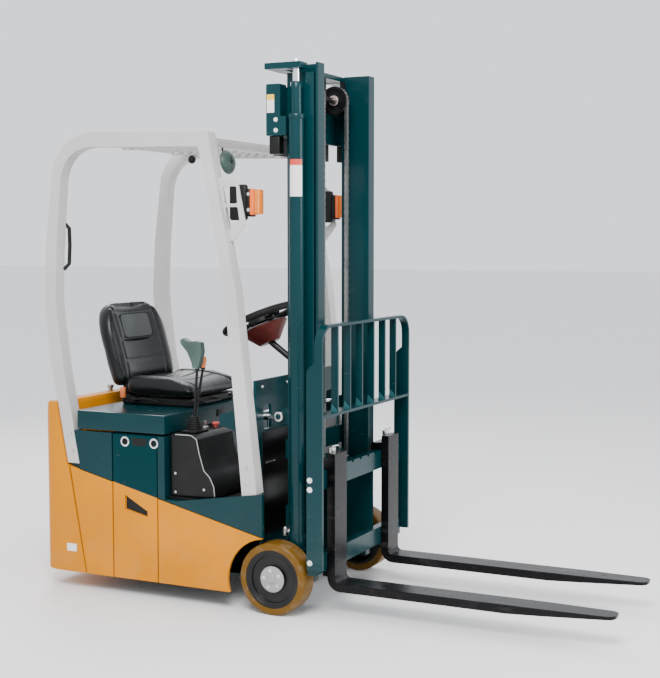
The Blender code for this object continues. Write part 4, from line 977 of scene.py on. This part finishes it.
# ---------------------------------------------------------------- body covers
class FORKLIFT_OT_covers(bpy.types.Operator):
    """Vent rings and hand holds of the doors, black plates as painted shade of their latch recesses, hood latch,
    screws, tow pin and blank plates
    """
    bl_idname = "forklift.covers"
    bl_label = "Covers"

    def execute(self, context):
        for side, hand in SIDES:
            self.door(side, hand)
            self.side_plates(side, hand)
        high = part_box("hood")[1]
        latch = Shape().box((high.x - 0.003, -0.036, high.z - 0.055),
                            (high.x + 0.0035, 0.036, high.z - 0.022), 0.003)
        latch.piece("hood_latch", "black_plastic", "hood_lid")
        self.tail()
        return {"FINISHED"}

    def door(self, side, hand):
        face = side_face("battery_door_" + hand, side)
        body = "door_" + hand
        rings, mesh = Shape(), Shape()
        hole = 0.0150
        for x in (-0.709, -0.562):
            spot = at(x, face, 0.673)
            rings.turned([(hole, 0.0018), (0.0180, 0.0032), (0.0215, 0.0018), (0.0220, -0.0005),
                          (hole, -0.0040)], spot, Y * side, 44)
            mesh.turned([(CORE, -0.005), (hole, -0.005), (hole, -0.008), (CORE, -0.008)],
                        spot, Y * side, 32)
            for i in range(-2, 3):
                height = i * 0.005
                reach = X * (0.0142 ** 2 - height ** 2) ** 0.5
                wire = spot + Vector((0, -side * 0.0035, height))
                mesh.rod(wire - reach, wire + reach, 0.0009, sides=8)
        rings.piece("vent_rings_" + hand, "chrome", body)
        mesh.piece("vent_grilles_" + hand, "black_plastic", body)
        hold = [(-0.710, 0.381), (-0.601, 0.356), (-0.601, 0.375), (-0.710, 0.436)]
        grip = Shape().plate(hold, at(0, face - side * 0.0095, 0), X, Z, 0.0012 * -side, 0)
        grip.piece("hand_hold_" + hand, "black_plastic", body)
        # a thin black plate where the door's latch recess is: painted shade of the recess
        shaded_recess = [(-0.668, 0.658), (-0.604, 0.658), (-0.594, 0.690), (-0.678, 0.690)]
        latch = Shape().plate(shaded_recess, at(0, face + side * 0.0008, 0), X, Z, 0.0016 * side, 0.0004)
        latch.piece("latch_recess_painted_shade_" + hand, "black_plastic", body)

    def side_plates(self, side, hand):
        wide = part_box("counterweight")[1].y
        label = Shape().plate(round_corners(0.052, 0.034, 0.003), at(-0.997, side * (wide - 0.0002), 0.183),
                              X, Z, -side * 0.0010, 0.0002)
        label.piece("blank_label_side_" + hand, "white_plate")
        heads = Shape()
        dome = [(CORE, 0.0022), (0.004, 0.0018), (0.0055, 0.0002), (0.0055, -0.002), (CORE, -0.002)]
        for x, z in ((-0.485, 0.130), (-0.300, 0.105), (-0.870, 0.130), (-0.800, 0.130)):
            heads.turned(dome, at(x, side * wide, z), Y * side, 24)
        heads.piece("skirt_screws_" + hand, "yellow_paint", "truck", "bare_steel")

    def tail(self):
        low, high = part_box("counterweight")
        pin = [(CORE, 0.030), (0.012, 0.029), (0.016, 0.024), (0.016, 0.016), (0.011, 0.012),
               (0.011, -0.004), (CORE, -0.004)]
        Shape().turned(pin, Vector((low.x + 0.060, 0, high.z)), Z, 40).piece(
            "tow_pin", "bare_steel", "truck", "bare_steel")
        plate_z = 0.265
        plate = Shape().plate(round_corners(0.165, 0.070, 0.004), Vector((low.x + 0.0003, 0, plate_z)), Y, Z,
                              -0.0020, 0.0005)
        plate.piece("blank_plate_tail", "white_plate")
        rivets = Shape()
        for y in (-0.072, 0.072):
            rivets.ball(Vector((low.x - 0.0015, y, plate_z)), 0.003)
        rivets.piece("tail_plate_rivets", "zinc", "truck", "bare_steel")


# ---------------------------------------------------------------- overhead guard, lamps, mirror
class FORKLIFT_OT_guard(bpy.types.Operator):
    """Lamps, round mirror, grab handle and small fittings of the overhead guard"""
    bl_idname = "forklift.guard"
    bl_label = "Guard and lamps"

    def execute(self, context):
        for side, hand in SIDES:
            self.lamp(side, hand)
        self.mirror()
        self.handle()
        self.fittings()
        return {"FINISHED"}

    def lamp(self, side, hand):
        node = "headlamp_" + hand
        low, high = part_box(node)
        split = low.x + (high.x - low.x) * 0.36
        shell = Shape()
        shell.box((low.x - 0.072, low.y + 0.002, low.z - 0.014),
                  (low.x + 0.008, high.y - 0.016, high.z + 0.012), 0.010)
        shell.box(low + Vector((0.006, 0.002, 0.006)), (split, high.y - 0.002, high.z - 0.006), 0.008)
        shell.box((low.x + 0.012, low.y + 0.010, low.z), (split + 0.012, high.y - 0.010, low.z + 0.010),
                  0.003)
        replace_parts(shell.piece("lamp_housing_" + hand, "black_plastic"), node)
        front = Shape().box((split + 0.018, low.y + 0.0015, low.z + 0.009),
                            (high.x - 0.001, high.y - 0.0015, high.z - 0.009), 0.007)
        front.piece("lamp_front_lens_" + hand, "amber_lens", "truck", "lamp")
        band = Shape().box((split - 0.001, low.y + 0.0005, low.z + 0.007),
                           (split + 0.0185, high.y - 0.0005, high.z - 0.007), 0.005)
        band.piece("lamp_side_lens_" + hand, "orange_lens", "truck", "lamp")
        bowl = [(0.0175, 0.012), (0.0165, 0.012), (0.008, 0.001), (CORE, 0.000), (CORE, -0.001),
                (0.009, -0.0005)]
        centre = Vector((split + 0.028, middle(node).y, middle(node).z + 0.016))
        Shape().turned(bowl, centre, X, 40).piece("lamp_reflector_" + hand, "chrome", "truck", "chrome")
        face = side_face(node, side) - side * 0.0015
        heads = [(Vector((low.x + 0.020, face, z)), Y * side) for z in (low.z + 0.028, high.z - 0.028)]
        bolts("lamp_bolts_" + hand, heads, 0.0055)

    def mirror(self):
        low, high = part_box("round_mirror")
        centre = Vector((middle("round_mirror").x + 0.004, middle("round_mirror").y, low.z + 0.0520))
        look = Vector((-1, 0.12, -0.15)).normalized()
        back = [(CORE, -0.020), (0.020, -0.019), (0.040, -0.011), (0.050, 0.000), (0.0515, 0.004),
                (0.049, 0.006), (0.047, 0.003), (CORE, -0.002)]
        shell = Shape().turned(back, centre, look, 72)
        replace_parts(shell.piece("mirror_shell", "knob_green"), "round_mirror")
        glass = [(CORE, 0.0052), (0.024, 0.0045), (0.0472, 0.0030), (0.0472, 0.0015), (CORE, 0.0015)]
        Shape().turned(glass, centre, look, 72).piece("mirror_face", "mirror_glass", "truck", "chrome")
        top = Vector((low.x + 0.006, centre.y, high.z - 0.001))
        swivel = centre - look * 0.016
        stem = Shape().tube([centre - look * 0.014, swivel + Z * 0.020, top - Z * 0.012, top], 0.0045, 14)
        stem.ball(swivel, 0.0095).piece("mirror_stem", "black_steel", "truck", "black_steel")

    def handle(self):
        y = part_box("guard_side_right")[1].y + 0.016
        leg = [(1.405, -1.066), (1.430, -1.052), (1.510, -1.047), (1.585, -1.049), (1.612, -1.064)]
        bend = [at(x, y - (0.020 if i in (0, 4) else 0), z) for i, (z, x) in enumerate(leg)]
        Shape().tube(bend, 0.0085, 18).piece("grab_handle", "soft_rubber")

    def fittings(self):
        low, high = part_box("guard_roof")
        plugs = Shape()
        for y in (-0.26, 0.0, 0.26):
            spot = Vector((low.x - 0.0005, y, high.z - 0.016))
            plugs.turned([(CORE, 0.003), (0.008, 0.0025), (0.010, 0.000), (CORE, -0.001)], spot, -X, 28)
        plugs.piece("roof_plugs", "black_plastic")
        hang = Vector((low.x + 0.052, high.y - 0.040, low.z))
        bulb = Shape().ball(hang - Z * 0.004, 0.019).rod(hang, hang + Z * 0.020, 0.008)
        bulb.piece("alarm_bulb", "black_plastic")
        feet = ((-0.112, 0.540), (-0.118, 0.600), (-0.988, 0.610), (-1.004, 0.690))
        heads = [(at(x, side_face("guard_side_" + hand, side), z), Y * side)
                 for side, hand in SIDES for x, z in feet]
        bolts("guard_foot_bolts", heads, 0.0065)


# ---------------------------------------------------------------- mast
HOSES_Z = 1.884      # foot of the hose blocks and of the black box between them, which is painted shade on the tie beam


class FORKLIFT_OT_mast(bpy.types.Operator):
    """Cylinder glands and ports, blank labels, hose blocks, bolts, a black box as painted shade on the tie beam,
    and sheave faces of the mast
    """
    bl_idname = "forklift.mast"
    bl_label = "Mast"

    def execute(self, context):
        bolt = context.scene.forklift_sizes.bolt
        for side, hand in SIDES:
            self.cylinder(side, hand)
            self.bracket(side, hand, bolt)
            self.tilt(hand)
        self.crown(bolt)
        self.sheaves()
        return {"FINISHED"}

    def cylinder(self, side, hand):
        low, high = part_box("lift_cylinder_" + hand)
        centre = middle("lift_cylinder_" + hand)
        radius = (high.x - low.x) / 2
        rod_low, rod_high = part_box("lift_rod_" + hand)
        rod_r = (rod_high.x - rod_low.x) / 2
        foot = Vector((centre.x, centre.y, 0))
        sleeve, bore = 0.0238, rod_r + 0.0025
        gland = Shape()
        gland.turned([(bore, high.z + 0.006), (0.0215, high.z + 0.006), (sleeve, high.z + 0.002),
                      (sleeve, high.z - 0.020), (bore, high.z - 0.020)], foot, Z, 56)
        gland.turned([(sleeve, 2.0440), (0.0330, 2.0440), (0.0345, 2.0420), (0.0345, 2.0240),
                      (0.0330, 2.0220), (sleeve, 2.0220)], foot, Z, 56)
        gland.piece("cylinder_gland_" + hand, "teal_paint", "mast_outer", "teal_paint")
        lip = [(rod_r + 0.0008, high.z + 0.0095), (rod_r + 0.0045, high.z + 0.0085),
               (rod_r + 0.0055, high.z + 0.0055), (rod_r + 0.0008, high.z + 0.0055)]
        wiper = Shape().turned(lip, foot, Z, 48)
        wiper.piece("cylinder_wiper_" + hand, "soft_rubber", "mast_outer", "teal_paint")
        collar = [(radius - 0.002, low.z + 0.055), (radius + 0.0022, low.z + 0.055),
                  (radius + 0.0030, low.z + 0.052), (radius + 0.0030, low.z + 0.004),
                  (radius + 0.0020, low.z + 0.001), (radius - 0.002, low.z + 0.001)]
        base = Shape().turned(collar, foot, Z, 56)
        base.piece("cylinder_base_" + hand, "teal_paint", "mast_outer", "teal_paint")
        spot = Vector((centre.x - radius, centre.y, low.z + 0.060))
        elbow = spot - X * 0.022
        port = Shape().rod(spot + X * 0.004, spot - X * 0.014, 0.0125, sides=6, soft=0.001)
        port.rod(spot - X * 0.010, spot - X * 0.030, 0.0090, sides=24, soft=0.001)
        port.rod(elbow - Z * 0.020, elbow + Z * 0.012, 0.0100, sides=24, soft=0.001)
        port.ball(elbow + Z * 0.010, 0.0115)
        port.piece("cylinder_port_" + hand, "zinc", "mast_outer", "bare_steel")
        nut = Vector((rod_low.x + rod_r, centre.y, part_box("inner_mast")[1].z - 0.001))
        bolts("lift_rod_nut_" + hand, [(nut, Z)], 0.0125, body="mast_inner")
        self.wrap_label(side, hand, foot, radius - 0.002)

    def bracket(self, side, hand, bolt):
        """Bolts, blank label and hose block of the bracket that clamps a lift cylinder."""
        face_y = side * 0.345
        heads = [(at(-0.036, face_y, z), Y * side) for z in (1.979, 2.022)]
        bolts("clamp_bolts_" + hand, heads, bolt * 0.8, "white_plate", "mast_outer")
        tall, centre_z = 0.074, 2.088
        FINISH["label_small"] = sticker("label_small_" + hand, (0.70, 0.69, 0.66), (0.75, 0.45, 0.02), 0.3,
                                        centre_z - tall / 2, centre_z + tall / 2)
        plate = Shape().plate(round_corners(0.034, tall, 0.002), at(-0.060, face_y, centre_z), X, Z,
                              -side * 0.0009, 0.0002)
        plate.piece("blank_label_clamp_" + hand, "label_small", "mast_outer", "teal_paint")
        inner, outer = sorted((side * 0.298, side * 0.340))
        block = Shape().box(at(-0.070, inner, HOSES_Z), at(-0.022, outer, 1.9570), 0.004)
        block.piece("hose_block_" + hand, "black_plastic", "mast_outer", "teal_paint")

    def wrap_label(self, side, hand, foot, radius):
        """A blank label wrapped round the outer front of the cylinder."""
        low, high, steps = 1.710, 1.860, 14
        FINISH["label_wrap"] = sticker("label_wrap_" + hand, (0.72, 0.71, 0.69), (0.55, 0.04, 0.02), 0.16,
                                       low, high)
        shape = Shape()
        begin, end = sorted((side * radians(20), side * radians(116)))
        lines = []
        for i in range(steps + 1):
            angle = begin + (end - begin) * i / steps
            for r in (radius + 0.0002, radius + 0.0009):
                for z in (low, high):
                    lines.append(shape.work.verts.new((foot.x + r * cos(angle), foot.y + r * sin(angle), z)))
        for i in range(steps):
            a, b = lines[4 * i:4 * i + 4], lines[4 * i + 4:4 * i + 8]
            for m, n in ((0, 1), (1, 3), (3, 2), (2, 0)):
                shape.work.faces.new((a[m], a[n], b[n], b[m]))
        for end_line in (lines[:4], lines[-4:]):
            shape.work.faces.new((end_line[0], end_line[1], end_line[3], end_line[2]))
        shape.piece("blank_label_cylinder_" + hand, "label_wrap", "mast_outer", "teal_paint")

    def tilt(self, hand):
        """Gland nut and hose ports of a tilt cylinder."""
        along = direction("tilt_stroke_" + hand)
        anchor = Vector(joint("tilt_swing_" + hand)["pos_m"])
        body = "tilt_barrel_" + hand
        gland = Shape()
        gland.turned([(0.0130, 0.153), (0.0225, 0.153), (0.0258, 0.150), (0.0258, 0.133), (0.0245, 0.131),
                      (0.0130, 0.131)], anchor, along, 48)
        gland.turned([(0.0240, 0.050), (0.0262, 0.048), (0.0262, 0.038), (0.0240, 0.036)], anchor, along, 48)
        gland.piece("tilt_gland_" + hand, "black_steel", body, "black_steel")
        ports = Shape()
        for reach in (0.045, 0.125):
            spot = anchor + along * reach
            ports.rod(spot + Z * 0.020, spot + Z * 0.034, 0.0075, sides=6, soft=0.0008)
        ports.piece("tilt_ports_" + hand, "zinc", body, "bare_steel")

    def crown(self, bolt):
        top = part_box("inner_mast")[1].z - 0.004
        bolts("crown_bolts", [(at(-0.045, y, top), Z) for y in (-0.16, 0.16)], bolt, body="mast_inner")
        # a black plastic box across the mast's tie beam: painted shade, where the beam shows dark between the
        # rails
        box = Shape().box(at(-0.1000, -0.250, HOSES_Z), at(-0.0835, 0.250, 2.140), 0.004)
        box.piece("tie_beam_painted_shade", "black_plastic", "mast_outer", "teal_paint")
        pins = Shape()
        for y in (-CHAIN_Y, CHAIN_Y):
            pins.rod(at(-0.049, y, 1.9625), at(-0.049, y, 1.935), 0.0062, sides=20, soft=0.001)
            pins.bolt(at(-0.049, y, 1.9620), -Z, 0.0100)
        pins.piece("chain_anchor_nuts", "zinc", "mast_outer", "bare_steel")

    def sheaves(self):
        web = [(0.0130, 0.0030), (0.0230, 0.0030), (0.0250, 0.0012), (0.0480, 0.0008), (0.0500, 0.0018),
               (0.0610, 0.0018), (0.0622, 0.0002), (0.0622, -0.0010), (0.0130, -0.0010)]
        retainer = [(0.0121, 0.0062), (0.0215, 0.0062), (0.0225, 0.0054), (0.0225, 0.0032), (0.0121, 0.0032)]
        faces, rings = Shape(), Shape()
        for y in (-CHAIN_Y, CHAIN_Y):
            for out in (-1, 1):
                spot = sheave_centre() + Y * (y + out * 0.0158)
                faces.turned(web, spot, Y * out, 64)
                rings.turned(retainer, spot, Y * out, 40)
        faces.piece("sheave_faces", "black_steel", "mast_inner", "bare_steel")
        rings.piece("sheave_retainers", "sheave_hub", "mast_inner", "bare_steel")


def sheave_centre():
    """Middle of the chain sheaves' axle, from the wheels at the foot of their node."""
    low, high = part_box("chain_sheaves")
    half = (high.x - low.x) / 2
    return Vector((low.x + half, 0, low.z + half))


class FORKLIFT_OT_chains(bpy.types.Operator):
    """Leaf chains: rows of link plates and pins, from the carriage over each sheave to the fixed mast"""
    bl_idname = "forklift.chains"
    bl_label = "Lift chains"

    def execute(self, context):
        pitch = context.scene.forklift_sizes.link
        centre = sheave_centre()
        thick = 0.016
        for side, hand in SIDES:
            low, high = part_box("chain_" + hand)
            y = middle("chain_" + hand).y
            radius = (high.x - low.x - thick) / 2
            front, rear = centre + Vector((radius, y, 0)), centre + Vector((-radius, y, 0))
            foot, tail = Vector((front.x, y, low.z + 0.006)), Vector((rear.x, y, 2.004))
            piece = self.links("chain_front_" + hand, self.run(front, foot, pitch))
            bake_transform(piece)
            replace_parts(piece, "chain_" + hand)
            piece = self.links("chain_rear_" + hand, self.run(rear, tail, pitch))
            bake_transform(piece)
            turns = round(pi * radius / pitch)
            over = [centre + Vector((radius * cos(pi * i / turns), y, radius * sin(pi * i / turns)))
                    for i in range(turns + 1)]
            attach(self.links("chain_top_" + hand, over), "mast_inner")
        return {"FINISHED"}

    def run(self, top, bottom, pitch):
        """Pin places down a straight run, as near the pitch as they come out even."""
        count = round((top - bottom).length / pitch)
        return [top.lerp(bottom, i / count) for i in range(count + 1)]

    def links(self, name, points):
        shape = Shape()
        round_end, plate = 0.0066, 0.0022
        for i, (one, two) in enumerate(zip(points, points[1:])):
            along = (two - one).normalized()
            outline = []
            for end, begin in (((two - one).length, -90), (0, 90)):
                for k in range(5):
                    angle = radians(begin + 45 * k)
                    outline.append((end + round_end * cos(angle), round_end * sin(angle)))
            offsets = (-0.0076, -0.0026, 0.0024) if i % 2 else (-0.0101, -0.0051, -0.0001, 0.0049)
            for offset in offsets:
                shape.plate(outline, one + Y * (offset + plate), along, along.cross(Y), plate, 0)
        for point in points:
            shape.rod(point - Y * 0.0104, point + Y * 0.0104, 0.0027, sides=10)
        return shape.piece(name, "chain_steel", None, "black_steel")


class FORKLIFT_OT_carriage(bpy.types.Operator):
    """Fork locks, gussets, bolts and chain anchors of the carriage and backrest"""
    bl_idname = "forklift.carriage"
    bl_label = "Carriage and forks"

    def execute(self, context):
        bolt = context.scene.forklift_sizes.bolt
        heads = [(at(0.172, side_face("load_backrest", side), z), Y * side)
                 for side, hand in SIDES for z in (0.572, 0.534, 0.235)]
        bolts("backrest_bolts", heads, bolt, "white_plate", "fork_carriage")
        gussets = Shape()
        back, front, shelf = 0.196, 0.222, 0.8325
        outline = [(back, shelf), (front, shelf), (front, shelf + 0.010), (back + 0.004, shelf + 0.034)]
        for i in (-5, -3, -1, 1, 3, 5):
            for flank in (-1, 1):
                gussets.plate(outline, at(0, i * 0.060 + flank * 0.0065, 0), X, Z, 0.004 * -flank, 0.0006)
        # the gussets take the lighter teal copy as painted highlight
        gussets.piece("backrest_gussets", "gusset_teal", "fork_carriage", "teal_paint")
        anchors = Shape()
        for y in (-CHAIN_Y, CHAIN_Y):
            spot = at(0.067, y, 0.575)
            anchors.rod(spot - Z * 0.034, spot + Z * 0.006, 0.0068, sides=20, soft=0.001)
            anchors.bolt(spot - Z * 0.0302, -Z, 0.0105)
            anchors.box(spot - Vector((0.010, 0.0118, 0.001)), spot + Vector((0.010, 0.0118, 0.010)), 0.003)
        anchors.piece("chain_anchors", "zinc", "fork_carriage", "bare_steel")
        for side, hand in SIDES:
            self.fork_lock(hand)
        return {"FINISHED"}

    def fork_lock(self, hand):
        """A round knob with a bent lever, on the fork's top hook."""
        low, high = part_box("fork_" + hand)
        hook = Vector((low.x + 0.046, middle("fork_" + hand).y, high.z))
        lock = Shape().rod(hook - Z * 0.004, hook + Z * 0.018, 0.0150, sides=32, soft=0.002)
        lock.tube([hook + Vector(step) for step in ((0, 0, 0.012), (0.002, 0, 0.022), (0.010, 0.020, 0.024),
                                                    (0.010, 0.034, 0.022))], 0.0038, 12)
        lock.piece("fork_lock_" + hand, "zinc", "fork_arm_" + hand, "bare_steel")


class FORKLIFT_OT_chassis(bpy.types.Operator):
    """Bolts, cover, strips and pipes of the plate behind the mast, and bolts beside the axle"""
    bl_idname = "forklift.chassis"
    bl_label = "Chassis fittings"

    def execute(self, context):
        bolt = context.scene.forklift_sizes.bolt
        face = at(-0.105, 0, 0).x
        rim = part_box("chassis_frame")[1].z - 0.030
        heads = [(Vector((face, y, rim)), X) for y in (-0.340, -0.120, 0.120, 0.340)]
        bolts("bulkhead_bolts", heads, bolt * 0.6)
        cover = Shape().box((face - 0.001, -0.345, 0.300), (face + 0.003, 0.345, 0.735), 0.002)
        cover.piece("bulkhead_cover", "black_steel")
        strip = Shape()
        for y in (-0.320, 0.240):
            strip.box((face + 0.002, y, 0.600), (face + 0.005, y + 0.080, 0.606), 0.0008)
        strip.piece("bulkhead_strips", "zinc")
        pipes = Shape()
        for side, hand in SIDES:
            route = ((0.030, 0.470), (0.030, 0.640), (0.050, 0.700), (0.110, 0.716))
            pipes.tube([(face - back, side * 0.352, z) for back, z in route], 0.0055, 14)
        pipes.piece("tilt_pipes", "bare_steel", "truck", "black_steel")
        caps = [(at(-0.080, side * 0.342, z), Y * side) for side, hand in SIDES for z in (0.150, 0.200)]
        bolts("axle_bolts", caps, bolt)
        return {"FINISHED"}


# ---------------------------------------------------------------- stage
CAMERA_PLACE = Vector((2.4017, -5.0826, 1.5295))
CAMERA_TURN = (radians(85.713), 0, radians(25.845))


class FORKLIFT_OT_stage(bpy.types.Operator):
    """Pale floor, soft lights and the camera"""
    bl_idname = "forklift.stage"
    bl_label = "Stage"

    def execute(self, context):
        settings = context.scene.forklift_stage
        ground = Shape()
        reach, under = 60, -0.0005
        corners = ((-reach, -reach), (reach, -reach), (reach, reach), (-reach, reach))
        ground.work.faces.new([ground.work.verts.new((x, y, under)) for x, y in corners])
        FINISH["floor"] = concrete("studio_floor", context.scene.forklift_colours.floor)
        ground.piece("studio_floor", "floor", None, None)
        low, high = CAD_BOX
        centre = (low + high) / 2
        self.light("key_light", Vector((1.2, -3.6, 4.4)), centre, 2.6, settings.key)
        self.light("fill_light", Vector((4.6, 0.8, 2.6)), centre, 2.4, settings.fill)
        self.light("back_light", Vector((-3.4, 3.0, 3.8)), centre, 2.2, settings.fill)
        world = bpy.data.worlds.new("studio_sky")
        world.use_nodes = True
        back = world.node_tree.nodes["Background"]
        back.inputs["Color"].default_value = (0.93, 0.95, 1.0, 1)
        back.inputs["Strength"].default_value = settings.sky
        context.scene.world = world
        camera = bpy.data.cameras.new("camera")
        camera.lens = settings.lens
        camera.sensor_width = 36
        camera.clip_end = 200
        made = bpy.data.objects.new("camera", camera)
        made.location = CAMERA_PLACE
        made.rotation_euler = CAMERA_TURN
        context.scene.collection.objects.link(made)
        context.scene.camera = made
        return {"FINISHED"}

    def light(self, name, place, target, size, power):
        lamp = bpy.data.lights.new(name, "AREA")
        lamp.shape = "DISK"
        lamp.size = size
        lamp.energy = power
        made = bpy.data.objects.new(name, lamp)
        made.location = place
        made.rotation_euler = (target - place).to_track_quat("-Z", "Y").to_euler()
        bpy.context.scene.collection.objects.link(made)


# ---------------------------------------------------------------- panel and registration
STEPS = ("stage", "frame", "wheels", "seat", "steering", "controls", "covers", "guard", "mast", "chains",
         "carriage", "chassis")


class FORKLIFT_PT_looks(bpy.types.Panel):
    """Sizes, colours and steps"""
    bl_idname = "FORKLIFT_PT_looks"
    bl_label = "Forklift"
    bl_space_type = "VIEW_3D"
    bl_region_type = "UI"
    bl_category = "Forklift"

    def draw(self, context):
        scene = context.scene
        for group in (scene.forklift_colours, scene.forklift_sizes, scene.forklift_stage):
            box = self.layout.box()
            for name in group.__annotations__:
                box.prop(group, name)
        for step in STEPS:
            self.layout.operator("forklift." + step)


CLASSES = (ForkliftColours, ForkliftSizes, ForkliftStage, FORKLIFT_OT_stage, FORKLIFT_OT_frame,
           FORKLIFT_OT_wheels, FORKLIFT_OT_seat, FORKLIFT_OT_steering, FORKLIFT_OT_controls,
           FORKLIFT_OT_covers, FORKLIFT_OT_guard, FORKLIFT_OT_mast, FORKLIFT_OT_chains,
           FORKLIFT_OT_carriage, FORKLIFT_OT_chassis, FORKLIFT_PT_looks)


GROUPS = {"forklift_colours": ForkliftColours, "forklift_sizes": ForkliftSizes,
          "forklift_stage": ForkliftStage}


def register():
    for each in CLASSES:
        bpy.utils.register_class(each)
    for name, group in GROUPS.items():
        setattr(bpy.types.Scene, name, bpy.props.PointerProperty(type=group))


def unregister():
    for name in GROUPS:
        delattr(bpy.types.Scene, name)
    for each in reversed(CLASSES):
        bpy.utils.unregister_class(each)


def main():
    register()
    for step in STEPS:
        getattr(bpy.ops.forklift, step)()


if __name__ == "__main__":
    main()
